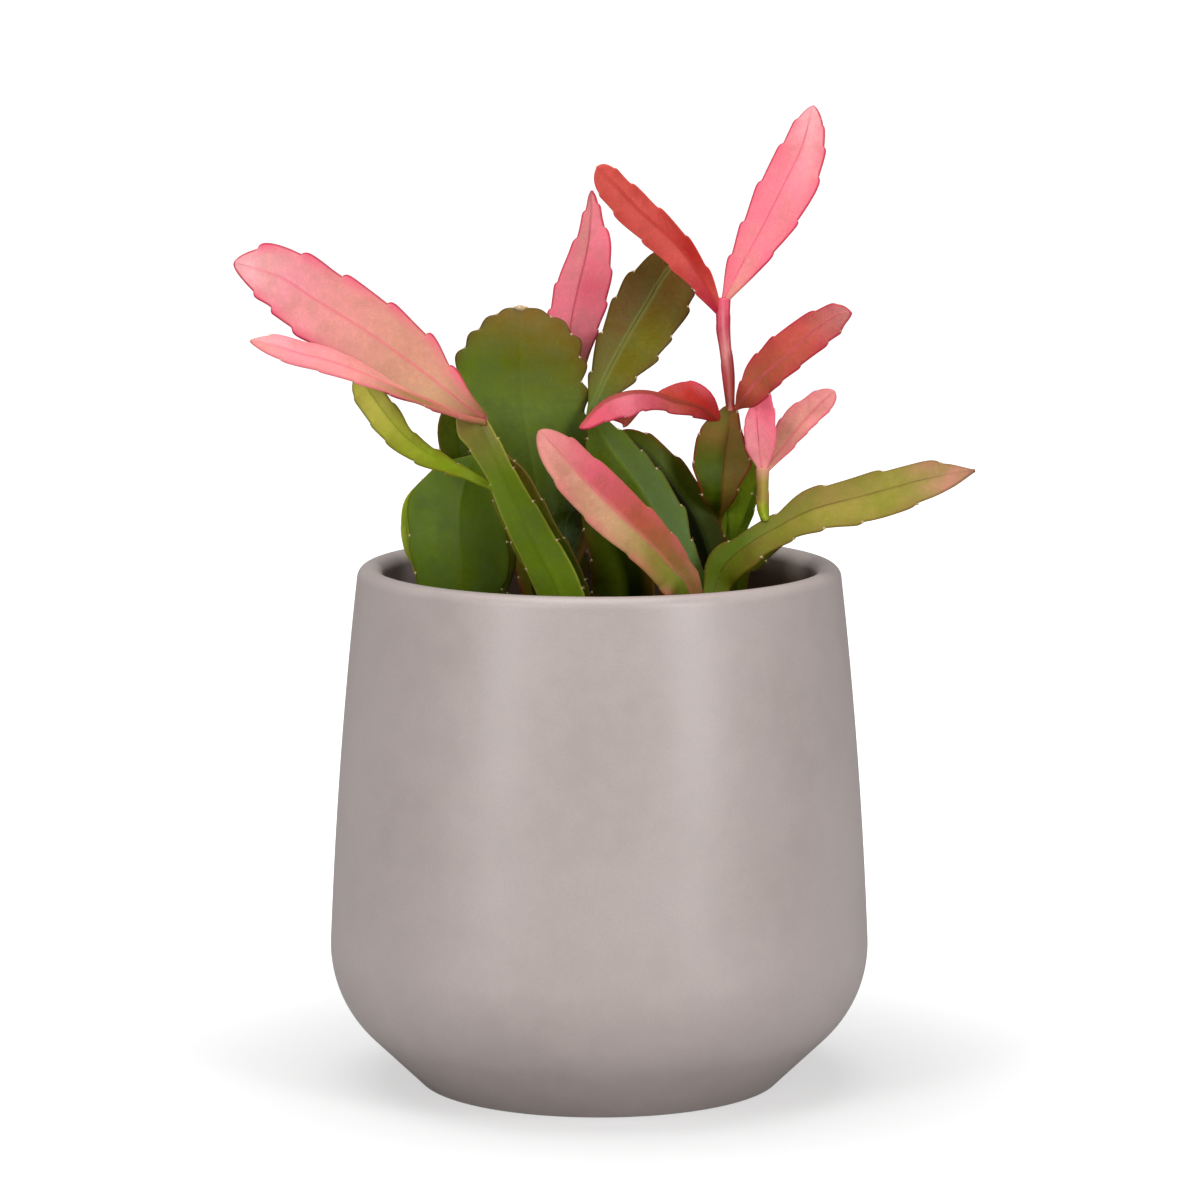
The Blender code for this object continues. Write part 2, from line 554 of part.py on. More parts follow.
def grown_segments(grown):
    """The segments that grow from others, each after the one that carries it."""
    def add(name, colour, parent, **shape):
        along, across = shape.pop("joint")
        grown[name] = Segment(name, colour, grows_from=(grown[parent], along, across), **shape)

    add(
        "arm_pink_broad", PINK, "strap_left", joint=(0.91, 2.0), seat=2.4,
        roll=(-15, -15), fold=(5, 5), blunt=0.12,
        rib=[(-31.5, -29, 180.5), (-38.5, -29, 187.3), (-49, -30, 196), (-61.5, -32.5, 206),
             (-73, -36, 213.5), (-82.5, -39, 220), (-94, -42, 224)],
        left=[2.4, 6.8, 9.4, 10, 10, 8.4, 5.5],
        right=[2, 5.3, 9, 9.5, 9.2, 8, 5.5],
        notches_left=(0.14, 0.34, 0.54, 0.71, 0.82, 0.91),
        notches_right=(0.12, 0.3, 0.47, 0.65, 0.81, 0.93),
    )
    add(
        "arm_pink_slim", PINK, "strap_left", joint=(0.84, 1.9), seat=2.7,
        roll=(-60, -80, -78, -65, -58, -55, -50), fold=(-4, -4), blunt=0.1,
        rib=[(-30.5, -32.5, 179), (-36.5, -35.5, 183.7), (-41.5, -38, 186.2), (-50, -42, 190.3),
             (-61, -45, 195.2), (-69.5, -47, 198.6), (-77, -48, 200.6), (-83, -49, 202.6), (-89.5, -50, 204.5)],
        left=[1.4, 2, 2.6, 3, 3.6, 3.9, 3.6, 3.4, 2.2],
        right=[1.4, 2, 3, 4, 5.4, 6.2, 6, 5.2, 2.6],
        notches_left=(0.16, 0.32, 0.46, 0.6, 0.74, 0.88),
        notches_right=(0.14, 0.3, 0.45, 0.63, 0.79, 0.93),
        tooth=0.5,
    )
    add(
        "arm_yellow_green", YELLOW_GREEN, "strap_left", joint=(0.74, -1.1), seat=1.9,
        roll=(-20, 10), fold=(10, 15), blunt=0.12,
        rib=[(-34.5, -28.5, 167.5), (-41.5, -28, 171), (-46.5, -27, 174), (-51, -26, 177.5),
             (-55, -25, 182), (-58.5, -23, 186.5), (-61, -21, 190), (-63, -20, 194)],
        left=[1.4, 2.9, 3.9, 4.5, 4.9, 4.6, 4.2, 3],
        right=[1.2, 1.9, 2.1, 2.4, 3.3, 3.3, 3, 2.5],
        notches_left=(0.22, 0.4, 0.58, 0.7, 0.88),
        notches_right=(0.18, 0.34, 0.5, 0.72, 0.9),
        tooth=0.5,
    )
    add(
        "blade_rose_upright", ROSE, "strap_behind_pad", joint=(1.0, 0.0), seat=0.7,
        roll=(20, 20), fold=(10, 10), blunt=0.04,
        rib=[(-6.5, 18.5, 192), (-7.5, 20, 201), (-5.5, 24, 211.5),
             (-3, 28, 222), (-2, 31, 231), (-2, 33, 237.5)],
        left=[4.3, 6.4, 6.3, 4.2, 2.1, 0.8],
        right=[3.5, 8.3, 9, 6.8, 2.8, 0.8],
        notches_left=(0.2, 0.36, 0.5, 0.75, 0.9),
        notches_right=(0.26, 0.43, 0.61, 0.81, 0.93),
    )
    add(
        "blade_olive", OLIVE, "strap_glaucous", joint=(1.0, 0.6), seat=0.6,
        roll=(0, -10), fold=(12, 12), blunt=0.15,
        rib=[(2.5, 10, 191), (7.5, 13, 200), (13, 15, 209), (17.5, 16, 216.5), (22.5, 17, 221.5)],
        left=[5, 7.2, 8.8, 6.6, 3.8],
        right=[7, 10, 10.4, 9.5, 6],
        notches_left=(0.18, 0.4, 0.6, 0.78, 0.92),
        notches_right=(0.27, 0.44, 0.58, 0.76, 0.9),
        tooth=1.0,
    )
    add(
        "stem_winged", OLIVE, "strap_arching", joint=(0.56, 1.05), seat=1.8,
        fold=(15, 25), blunt=0.05,
        rib=[(33, 7, 159), (33.5, 7, 167), (34.5, 6, 175), (35, 6, 182)],
        left=[6, 8.7, 6.6, 2.6],
        right=[3.2, 5.2, 4.2, 3],
        notches_left=(0.25, 0.5, 0.75, 0.92),
        notches_right=(0.3, 0.58, 0.8, 0.95),
        tooth=0.5,
    )
    add(
        "stem_wing_back", GREEN, "strap_arching", joint=(0.47, 1.2), seat=2.0,
        roll=(10, 10), fold=(5, 5), blunt=0.1,
        rib=[(37.5, 12, 155.5), (40, 12.5, 162.5), (42.2, 12, 170.5), (43.7, 12, 177)],
        left=[2.6, 3.5, 3.5, 2.5],
        right=[2, 2.2, 2.4, 2],
        notches_left=(0.3, 0.55, 0.8),
        notches_right=(0.4, 0.65, 0.88),
        tooth=0.4,
    )
    add(
        "stem_pink", CORAL, "stem_winged", joint=(1.0, 0.0), thickness=2.6, seat=0.5,
        rib=[(34.5, 6, 190), (33.6, 5, 197), (33, 4, 203.5), (33, 4, 209)],
        left=[1.5, 1.4, 1.7, 1.8],
        right=[1.5, 1.6, 1.6, 1.7],
        notches_left=(0.4, 0.75),
        notches_right=(0.5, 0.85),
        tooth=0.2, blunt=0.02,
    )
    add(
        "arm_coral", CORAL, "stem_pink", joint=(0.93, -1.75), seat=0.4,
        roll=(-25, -20), fold=(-8, -8), blunt=0.1,
        rib=[(26.5, 0, 217), (20.5, -4, 225.5), (10.5, -10, 235), (4, -14, 242), (-0.5, -17, 247)],
        left=[3.5, 5.3, 5.3, 4.6, 4],
        right=[3.4, 4.1, 4.5, 3.6, 3.4],
        notches_left=(0.16, 0.36, 0.58, 0.78, 0.9),
        notches_right=(0.22, 0.4, 0.6, 0.8, 0.92),
        tooth=0.6,
    )
    add(
        "arm_rose_tall", ROSE, "stem_pink", joint=(1.0, 0.5), seat=0.6,
        roll=(25, 25), fold=(8, 8), blunt=0.08,
        rib=[(38, 7, 219), (43.5, 11, 228.5), (49, 15, 239), (54.5, 19, 250), (57.5, 22, 261)],
        left=[3.7, 5.6, 6.3, 5.6, 2.8],
        right=[4.6, 7.6, 9, 6.8, 3],
        notches_left=(0.2, 0.37, 0.58, 0.79, 0.93),
        notches_right=(0.28, 0.46, 0.69, 0.82, 0.91),
    )
    add(
        "arm_rust", RUST, "stem_winged", joint=(1.0, 6.0), seat=0.8,
        roll=(20, 20), fold=(6, 6), blunt=0.12,
        rib=[(39.2, -1.5, 185.5), (43, -4, 190.5), (49, -8, 196), (56, -12, 203),
             (62, -16, 207.5), (66, -19, 209)],
        left=[2.6, 5, 6.2, 4.8, 3.6, 2.6],
        right=[3.6, 4.9, 4.6, 5, 4.3, 2.6],
        notches_left=(0.2, 0.36, 0.52, 0.8, 0.92),
        notches_right=(0.26, 0.4, 0.54, 0.78, 0.9),
        tooth=0.6,
    )
    add(
        "arm_coral_twisted", CORAL, "stem_winged", joint=(0.92, -1.1), seat=0.5,
        roll=(0, -5, -50, -78, -81, -81, -70), fold=(0, -5, -45, -66, -69, -66, -50), blunt=0.05,
        rib=[(26.5, -2, 182.5), (20, -6, 184.5), (13, -10, 187), (6.5, -14, 187),
             (0.5, -17, 184.5), (-5, -20, 178.5)],
        left=[3, 3.2, 4.5, 6, 5, 1.5],
        right=[5.2, 4.8, 10.5, 7.5, 5, 1.5],
        notches_left=(0.2, 0.38, 0.55, 0.72, 0.88),
        notches_right=(0.26, 0.45, 0.62, 0.8, 0.92),
        tooth=0.5,
    )
    add(
        "stalk_green", YELLOW_GREEN, "strap_right", joint=(0.47, -1.0), thickness=2.4, seat=1.2,
        rib=[(43.5, -4, 156), (43.5, -3.5, 161), (43.5, -3, 166.2)],
        left=[1.3, 1.5, 1.7],
        right=[1.4, 1.5, 1.7],
        notches_left=(0.5,),
        notches_right=(0.6,),
        tooth=0.2, blunt=0.02,
    )
    add(
        "leaflet_rose", ROSE, "stalk_green", joint=(1.0, -3.5), seat=0.6,
        roll=(15, 15), fold=(12, 12), blunt=0.12,
        rib=[(42.6, -2, 173.5), (42.2, 0, 178.5), (42.2, 4, 183), (42.3, 9, 187.5)],
        left=[3.9, 3.5, 1.6, 1.6],
        right=[4.8, 5, 4, 2.6],
        notches_left=(0.26, 0.46, 0.68, 0.86),
        notches_right=(0.2, 0.4, 0.6, 0.8),
        tooth=0.4,
    )
    add(
        "leaflet_coral", CORAL, "stalk_green", joint=(1.0, 4.5), seat=0.5,
        roll=(20, 20), fold=(5, 5), blunt=0.15,
        rib=[(49.5, 2, 171.5), (54, 4, 177), (58.5, 6, 181.5), (63, 8, 185.5)],
        left=[4.3, 5.4, 4.1, 3],
        right=[1.5, 2.6, 3, 2.6],
        notches_left=(0.25, 0.5, 0.7, 0.88),
        notches_right=(0.38, 0.54, 0.68, 0.84),
        tooth=0.5,
    )


def main():
    for old in list(bpy.data.objects):
        bpy.data.objects.remove(old, do_unlink=True)
    parts = bpy.data.collections.new("potted_rhipsalis")
    cutters = bpy.data.collections.new("root_holes")
    bpy.context.scene.collection.children.link(parts)
    bpy.context.scene.collection.children.link(cutters)

    segments = {segment.name: segment for segment in rooted_segments()}
    roots = [segment.root for segment in segments.values()]
    build_pot(parts)
    build_soil(parts, cutters, roots)
    grown_segments(segments)
    for segment in segments.values():
        build_blade(segment, parts)


main()
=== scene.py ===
# %% [markdown]
# # A rhipsalis in a stoneware pot
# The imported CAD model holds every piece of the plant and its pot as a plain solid, each in its real
# place. It is loaded first and stays fixed. Each cell after that makes one finer piece or one
# finish, in the same place and in metres, and says which plain solid it stands for.

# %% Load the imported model
import json
import math

import bmesh
import bpy
import numpy as np
from mathutils import Matrix, Vector, noise

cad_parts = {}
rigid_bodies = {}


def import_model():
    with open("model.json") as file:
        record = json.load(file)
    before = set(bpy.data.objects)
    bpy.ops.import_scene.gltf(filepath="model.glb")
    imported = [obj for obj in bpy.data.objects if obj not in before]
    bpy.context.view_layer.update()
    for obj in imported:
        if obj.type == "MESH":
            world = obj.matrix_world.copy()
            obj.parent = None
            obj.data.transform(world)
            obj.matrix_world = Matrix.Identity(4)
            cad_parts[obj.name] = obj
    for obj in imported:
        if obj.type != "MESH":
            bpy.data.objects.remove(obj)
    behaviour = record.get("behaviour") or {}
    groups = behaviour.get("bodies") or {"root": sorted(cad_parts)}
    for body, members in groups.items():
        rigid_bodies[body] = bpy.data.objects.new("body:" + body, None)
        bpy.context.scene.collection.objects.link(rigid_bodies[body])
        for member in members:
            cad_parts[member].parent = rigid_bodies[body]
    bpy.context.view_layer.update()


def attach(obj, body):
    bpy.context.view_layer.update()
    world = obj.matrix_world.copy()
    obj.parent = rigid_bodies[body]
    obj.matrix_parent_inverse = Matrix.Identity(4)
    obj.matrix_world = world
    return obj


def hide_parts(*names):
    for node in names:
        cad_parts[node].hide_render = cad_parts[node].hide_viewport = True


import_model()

MM = 0.001


# %% [markdown]
# ## The camera
# A catalogue picture of a pot plant is taken with a long lens from a little above the rim, so that
# the pot's sides stay almost parallel. A 161 mm lens at 1.42 m, tipped down by 8 degrees, gives the
# same ellipse at the rim as the photograph. "Standard" colours keep the white table white.

# %% Place the camera
LENS = 160.9
SENSOR_WIDTH = 36.0
CAMERA_RIGHT = 0.0002
CAMERA_DISTANCE = 1.421
CAMERA_HEIGHT = 0.3334
CAMERA_TIP = 8.136


def place_in_scene(name, data):
    """A new object in the scene, from its mesh, light or camera data."""
    thing = bpy.data.objects.new(name, data)
    bpy.context.scene.collection.objects.link(thing)
    return thing


lens = bpy.data.cameras.new("catalogue_lens")
lens.sensor_width = SENSOR_WIDTH
lens.lens = LENS
camera = place_in_scene("catalogue_camera", lens)
camera.location = (CAMERA_RIGHT, -CAMERA_DISTANCE, CAMERA_HEIGHT)
camera.rotation_euler = (math.radians(90.0 - CAMERA_TIP), 0.0, 0.0)
bpy.context.scene.camera = camera
bpy.context.scene.view_settings.view_transform = "Standard"
print("camera looks down by", CAMERA_TIP, "degrees")

# %% [markdown]
# ## A bench for shader nodes
# Every finish below is a small network of nodes. Adding each node and link by hand fills pages, so
# this bench adds a node, sets its values and joins its inputs in one call. An input may be a plain
# number, a colour or the output of an earlier node.

# %% Make the shader bench


class Bench:
    """Adds nodes to one tree and joins them."""

    def __init__(self, tree):
        self.nodes = tree.nodes
        self.links = tree.links

    def feed(self, socket, source):
        if isinstance(source, bpy.types.NodeSocket):
            self.links.new(source, socket)
        else:
            socket.default_value = source

    def add(self, kind, settings=None, **inputs):
        node = self.nodes.new("ShaderNode" + kind)
        for name, value in (settings or {}).items():
            setattr(node, name, value)
        for name, source in inputs.items():
            self.feed(node.inputs[name.replace("_", " ")], source)
        return node

    def in_order(self, kind, settings, *values):
        """Adds a node and feeds its first inputs in their order."""
        node = self.add(kind, settings)
        for socket, value in zip(node.inputs, values):
            self.feed(socket, value)
        return node.outputs

    def maths(self, operation, *values):
        return self.in_order("Math", {"operation": operation}, *values)[0]

    def times(self, first, second):
        return self.maths("MULTIPLY", first, second)

    def plus(self, first, second):
        return self.maths("ADD", first, second)

    def minus(self, first, second):
        return self.maths("SUBTRACT", first, second)

    def size(self, first):
        """A number without its sign."""
        return self.maths("ABSOLUTE", first)

    def distance(self, place):
        """How far a place is from the origin."""
        return self.in_order("VectorMath", {"operation": "LENGTH"}, place)["Value"]

    def mix(self, amount, first, second, blend="MIX"):
        node = self.add("Mix", {"data_type": "RGBA", "blend_type": blend})
        for number, source in ((0, amount), (6, first), (7, second)):
            self.feed(node.inputs[number], source)
        return node.outputs[2]

    def ramp(self, value, low, high, to_low=0.0, to_high=1.0):
        settings = {"interpolation_type": "SMOOTHSTEP"}
        return self.in_order("MapRange", settings, value, low, high, to_low, to_high)[0]

    def cloud(self, place, scale, detail=2.0, roughness=0.5):
        node = self.add("TexNoise", Vector=place, Scale=scale, Detail=detail, Roughness=roughness)
        return node.outputs["Fac"]

    def on_object(self):
        """The place on the object, in metres."""
        return self.add("TexCoord").outputs["Object"]

    def attribute(self, name):
        return self.add("Attribute", {"attribute_name": name})

    def relief(self, shader, strength, distance, height):
        """Gives a shader the relief of a height."""
        bump = self.add("Bump", Strength=strength, Distance=distance, Height=height)
        self.feed(shader.inputs["Normal"], bump.outputs[0])


print("the bench adds nodes and joins them")

# %% [markdown]
# ## Groups, finishes and paints
# An effect that several finishes share is a shader group with named sockets, and a finish is a
# material with its Principled shader. The colours are given as on a paint chart, from 0 to 255,
# because pictures are compared in those numbers, and turned into the linear ones of a shader.

# %% Make groups, finishes and paints


def new_group(name, inputs, outputs):
    """A shader group with named sockets; returns it with its bench, its inputs and its outputs."""
    group = bpy.data.node_groups.new(name, "ShaderNodeTree")
    for label, kind, value in inputs:
        socket = group.interface.new_socket(
            name=label, in_out="INPUT", socket_type="NodeSocket" + kind)
        socket.default_value = value
    for label, kind in outputs:
        group.interface.new_socket(name=label, in_out="OUTPUT", socket_type="NodeSocket" + kind)
    entry = group.nodes.new("NodeGroupInput")
    exit_node = group.nodes.new("NodeGroupOutput")
    return group, Bench(group), entry.outputs, exit_node.inputs


def new_finish(name):
    """A new material with its bench and its Principled shader."""
    finish = bpy.data.materials.new(name)
    finish.use_nodes = True
    return finish, Bench(finish.node_tree), finish.node_tree.nodes["Principled BSDF"]


def paint(red, green, blue):
    """A colour from a paint chart's 0 to 255 numbers, as the linear colour that shaders use."""
    def linear(value):
        value = value / 255.0
        return value / 12.92 if value <= 0.04045 else ((value + 0.055) / 1.055) ** 2.4
    return (linear(red), linear(green), linear(blue), 1.0)


print("a mid grey of 128 is", round(paint(128, 128, 128)[0], 3), "to a shader")

# %% [markdown]
# ## The white table
# The pot stands on a plain white table that ends in white paper. The table is a wide round sheet,
# and its white is lifted for the camera alone, as a retoucher does: a little round the foot, so
# that the soft shadow shows, and more farther out. The pot isn't lit by it.

# %% Lay the table
TABLE_RADIUS = 1.6
TABLE_SIDES = 96
TABLE_WHITE = 0.46
WHITE = (1.0, 1.0, 1.0, 1.0)
LIFT_AT_POT = 0.5
LIFT_FAR_OUT = 1.0
LIFT_STARTS = 0.06
LIFT_ENDS = 0.265

table_mesh = bpy.data.meshes.new("white_table")
table = place_in_scene("white_table", table_mesh)
disc = bmesh.new()
bmesh.ops.create_circle(disc, cap_ends=True, segments=TABLE_SIDES, radius=TABLE_RADIUS)
disc.to_mesh(table_mesh)
disc.free()

white, bench, shader = new_finish("white_table_top")
shader.inputs["Base Color"].default_value = (TABLE_WHITE, TABLE_WHITE, TABLE_WHITE, 1.0)
shader.inputs["Roughness"].default_value = 0.9
shader.inputs["Specular IOR Level"].default_value = 0.1
shader.inputs["Emission Color"].default_value = WHITE
for_camera = bench.add("LightPath").outputs["Is Camera Ray"]
from_pot = bench.distance(bench.on_object())
lift = bench.ramp(from_pot, LIFT_STARTS, LIFT_ENDS, LIFT_AT_POT, LIFT_FAR_OUT)
bench.feed(shader.inputs["Emission Strength"], bench.times(for_camera, lift))
table_mesh.materials.append(white)
print("table laid,", TABLE_RADIUS, "m in radius")

# %% [markdown]
# ## Soft studio light
# Two tall soft boxes stand to the left and right of the camera and give the pot its two broad,
# upright bands of light. A third hangs above the plant. One bare lamp would be quicker, but it
# would give the glaze-free clay a hard highlight and the blades hard shadows.

# %% Hang the soft boxes
SOFT_BOXES = {
    "soft_box_left": ((-1.15, -1.25, 0.7), (0.5, 1.5), 15.2),
    "soft_box_right": ((1.15, -1.25, 0.7), (0.5, 1.5), 19.0),
    "soft_box_above": ((-0.2, 0.0, 1.6), (1.4, 1.4), 17.0),
}
LIGHT_AIM = Vector((0.0, 0.0, 0.13))

for name, (place, size, power) in SOFT_BOXES.items():
    box = bpy.data.lights.new(name, "AREA")
    box.shape = "RECTANGLE"
    box.size, box.size_y = size
    box.energy = power
    lamp = place_in_scene(name, box)
    lamp.location = place
    lamp.rotation_euler = (LIGHT_AIM - Vector(place)).to_track_quat("-Z", "Y").to_euler()
    print(name, "at", place, "m,", power, "W")

# %% [markdown]
# ## The room and the paper
# The room itself is dim, so that the pot's sides darken towards their edges, but the camera sees
# white paper behind the pot. One background can't be both, so there are two: one is what the light
# comes from, and the other is what the camera sees.

# %% Light the room
ROOM_LIGHT = 0.16
PAPER_WHITE = 1.1

room = bpy.data.worlds.new("studio_room")
room.use_nodes = True
bench = Bench(room.node_tree)
room.node_tree.nodes.clear()
dim = bench.add("Background", Color=WHITE, Strength=ROOM_LIGHT)
paper = bench.add("Background", Color=WHITE, Strength=PAPER_WHITE)
for_camera = bench.add("LightPath").outputs["Is Camera Ray"]
choose = bench.in_order("MixShader", None, for_camera, dim.outputs[0], paper.outputs[0])
bench.feed(bench.add("OutputWorld").inputs["Surface"], choose[0])
bpy.context.scene.world = room
print("room lit at", ROOM_LIGHT)

# %% [markdown]
# ## The stoneware pot
# The real pot was thrown or cast in a fine buff-grey stoneware: a foot disc, a short cone, a round
# belly, a tall wall that leans in, and a rolled lip. It could be a stack of scaled circles, but its
# outline is a chain of arcs, so it is drawn as one: a path walks along the outside, over the lip
# and down the inside. The lengths are in millimetres and the angles in degrees.

# %% Draw the pot's outline
POT_HEIGHT = 139.9
FOOT_RADIUS = 48.2
FOOT_EDGE_RADIUS = 1.3
CONE_ANGLE = 43.9
CONE_LENGTH = 19.0
BELLY_RADIUS = 33.1
BELLY_END_ANGLE = 92.4
WALL_LEAN_RADIUS = 1370.0
LIP_RADIUS = 3.3
LIP_DROP = 2.65
WALL = 2 * LIP_RADIUS
FLOOR = 9.0
FLOOR_CORNER = 2.0
FOOT_STEPS, BELLY_STEPS, WALL_STEPS, LIP_STEPS = 5, 18, 16, 24


def walk_arc(path, radius, turn, steps):
    """Adds an arc to a path of (r, z, heading in degrees), turning left by the given angle."""
    r, z, heading = path[-1]
    centre_r = r - radius * math.sin(math.radians(heading))
    centre_z = z + radius * math.cos(math.radians(heading))
    for step in range(1, steps + 1):
        angle = heading + turn * step / steps
        side_r = radius * math.sin(math.radians(angle))
        side_z = radius * math.cos(math.radians(angle))
        path.append((centre_r + side_r, centre_z - side_z, angle))


def outer_wall():
    """The pot's outside from the foot up to where the lip starts."""
    foot_flat = FOOT_RADIUS - FOOT_EDGE_RADIUS * math.tan(math.radians(CONE_ANGLE / 2))
    path = [(foot_flat, 0.0, 0.0)]
    walk_arc(path, FOOT_EDGE_RADIUS, CONE_ANGLE, FOOT_STEPS)
    r, z, heading = path[-1]
    run = CONE_LENGTH * math.cos(math.radians(heading))
    rise = CONE_LENGTH * math.sin(math.radians(heading))
    path.append((r + run, z + rise, heading))
    walk_arc(path, BELLY_RADIUS, BELLY_END_ANGLE - CONE_ANGLE, BELLY_STEPS)
    climb = POT_HEIGHT - LIP_DROP - path[-1][1]
    walk_arc(path, WALL_LEAN_RADIUS, math.degrees(climb / WALL_LEAN_RADIUS), WALL_STEPS)
    return path


def inner_wall():
    """The outside moved inwards by the wall, from the lip down to just above the floor."""
    points = []
    for r, z, heading in outer_wall():
        inner_r = r - WALL * math.sin(math.radians(heading))
        inner_z = z + WALL * math.cos(math.radians(heading))
        if inner_z > FLOOR + 1.0:
            points.append((inner_r, inner_z))
    return points[::-1]


lip = outer_wall()[-1:]
walk_arc(lip, LIP_RADIUS, 180.0, LIP_STEPS)
pot_inside = inner_wall()
pot_outline = [(0.0, FLOOR), (pot_inside[-1][0] - FLOOR_CORNER, FLOOR)] + pot_inside[::-1]
pot_outline += [(r, z) for r, z, _ in lip[::-1]][1:-1]
pot_outline += [(r, z) for r, z, _ in outer_wall()[::-1]] + [(0.0, 0.0)]
print("outline of", len(pot_outline), "points, widest radius",
      round(max(r for r, z in pot_outline), 1), "mm")

# %% [markdown]
# ## Turning the pot
# A potter turns the clay and holds the tool still. The Screw modifier does the same: it turns the
# outline about the pot's axis. It stays live, so the outline can still be changed, and fine steps
# keep the rim round in a close view.

# %% Turn the pot
POT_STEPS = 192
SAME_POINT = 0.00001

pot_mesh = bpy.data.meshes.new("stoneware_pot")
pot_mesh.from_pydata(
    [(r * MM, 0.0, z * MM) for r, z in pot_outline],
    [(i, i + 1) for i in range(len(pot_outline) - 1)],
    [],
)
stoneware_pot = place_in_scene("stoneware_pot", pot_mesh)
turn = stoneware_pot.modifiers.new("Turn", "SCREW")
turn.steps = POT_STEPS
turn.render_steps = POT_STEPS
turn.use_merge_vertices = True
turn.merge_threshold = SAME_POINT
turn.use_smooth_shade = True
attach(stoneware_pot, "root")
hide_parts("ceramic_pot")
print("pot turned in", POT_STEPS, "steps")

# %% [markdown]
# ## The fired clay
# Dry-matt stoneware isn't one grey. The clay clouds over a few centimetres, the throwing leaves
# very faint rings, and fine sand shows as a grain of a fraction of a millimetre. Three noises at
# those sizes colour it, and they also roughen the surface as a faint bump. The inside below the lip
# is darkened to brown as painted shade, more the nearer it lies to the mix, but not at the left.
# Each mask reads the place on the pot in metres.

# %% Mix the stoneware
CLOUD_SCALE, PATCH_SCALE, SAND_SCALE = 26.0, 150.0, 2600.0
RING_STRETCH = (6.0, 6.0, 260.0)
INSIDE_RADIUS, INSIDE_SOFTNESS = 0.0612, 0.0006
# painted shade: where the inside wall darkens below the lip, and how much
INSIDE_SHADE_FROM, INSIDE_SHADE_FULL, INSIDE_SHADE_STRENGTH = 0.1395, 0.131, 0.9
FOOT_TOP, FOOT_SOFTNESS = 0.05, 0.01
INSIDE_SHADE_LEFT_END, INSIDE_SHADE_LEFT_FULL = -0.053, -0.042
BUFF, PALE_BUFF = paint(176, 164, 160), paint(184, 172, 169)
CHALK, SAND = paint(190, 177, 172), paint(156, 144, 139)
INSIDE_SHADE_BROWN = paint(94, 70, 48)

stoneware, bench, shader = new_finish("matt_stoneware")
place = bench.on_object()
clouds = bench.cloud(place, CLOUD_SCALE, detail=4.0, roughness=0.55)
patches = bench.cloud(place, PATCH_SCALE, detail=3.0, roughness=0.6)
sand = bench.cloud(place, SAND_SCALE, detail=2.0, roughness=0.6)
clay = bench.mix(bench.ramp(clouds, 0.3, 0.7), BUFF, PALE_BUFF)
clay = bench.mix(bench.ramp(patches, 0.35, 0.7, 0.0, 0.35), clay, CHALK)
clay = bench.mix(bench.ramp(sand, 0.35, 0.75, 0.0, 0.3), clay, SAND)

flat = bench.in_order("VectorMath", {"operation": "MULTIPLY"}, place, (1.0, 1.0, 0.0))["Vector"]
inside = bench.ramp(bench.distance(flat), INSIDE_RADIUS, INSIDE_RADIUS + INSIDE_SOFTNESS, 1.0, 0.0)
spot = bench.in_order("SeparateXYZ", None, place)
# painted shade: the inside wall is darkened to brown below the lip, above the foot and not at the
# left
inside_shade = bench.ramp(spot["Z"], INSIDE_SHADE_FULL, INSIDE_SHADE_FROM, INSIDE_SHADE_STRENGTH, 0.0)
inside_shade = bench.times(inside_shade, bench.ramp(spot["Z"], FOOT_TOP, FOOT_TOP + FOOT_SOFTNESS))
inside_shade = bench.times(inside_shade, bench.ramp(spot["X"], INSIDE_SHADE_LEFT_END, INSIDE_SHADE_LEFT_FULL))
clay = bench.mix(bench.times(inside_shade, inside), clay, INSIDE_SHADE_BROWN)
bench.feed(shader.inputs["Base Color"], clay)
bench.feed(shader.inputs["Roughness"], bench.ramp(patches, 0.3, 0.7, 0.35, 0.4))
shader.inputs["Specular IOR Level"].default_value = 0.5

spread = bench.add("Mapping", Vector=place, Scale=RING_STRETCH)
rings = bench.cloud(spread.outputs[0], 1.0, detail=2.0, roughness=0.5)
relief = bench.plus(bench.times(sand, 0.35), bench.times(rings, 0.25))
relief = bench.plus(relief, bench.times(patches, 0.6))
bench.relief(shader, strength=0.35, distance=0.00012, height=relief)
pot_mesh.materials.append(stoneware)
print("stoneware mixed from three noises and faint rings")

# %% [markdown]
# ## The potting mix
# The mix is peat, bark and grit, filled to below the lip and slightly domed. A displacement on a
# plain disc would look like velvet, so there are two layers: a closed bed whose surface is lifted
# by noise at three sizes, and loose crumbs of bark that lie half sunk in it.

# %% Measure the bed
SOIL_BELOW_RIM = 27.2
SOIL_DOME = 2.0
SOIL_LEVEL = POT_HEIGHT - SOIL_BELOW_RIM
SOIL_TO_WALL = 0.05
# how often a lump comes in a millimetre, which layer of the noise it reads, how high it stands
LUMPS = ((0.11, 3.1, 1.1), (0.35, 7.7, 0.8), (1.1, 1.3, 0.45))


def wall_radius(height):
    """The radius of the pot's inside at a height."""
    heights = [z for r, z in pot_inside][::-1]
    return float(np.interp(height, heights, [r for r, z in pot_inside][::-1]))


def soil_height(radius):
    """The top of the potting mix: a low dome that sinks towards the wall."""
    return SOIL_LEVEL + SOIL_DOME * (1 - (radius / pot_inside[0][0]) ** 2)


def soil_lumps(x, y):
    """Height of the crumbly surface above the smooth dome, in mm."""
    return sum(high * noise.noise(Vector((x * often, y * often, layer)))
               for often, layer, high in LUMPS)


soil_edge = wall_radius(SOIL_LEVEL) - SOIL_TO_WALL
print("bed out to", round(soil_edge, 1), "mm, its middle at", round(soil_height(0.0), 1), "mm")

# %% [markdown]
# ## Filling the bed
# The bed is rings of points round the pot's axis, joined by faces, with a skirt down the wall and
# a flat underside that closes it. A grid of squares would leave ragged steps along the round wall.

# %% Fill the bed
SOIL_SKIRT = 14.0
SOIL_SPOKES = 160
SOIL_RINGS = 56

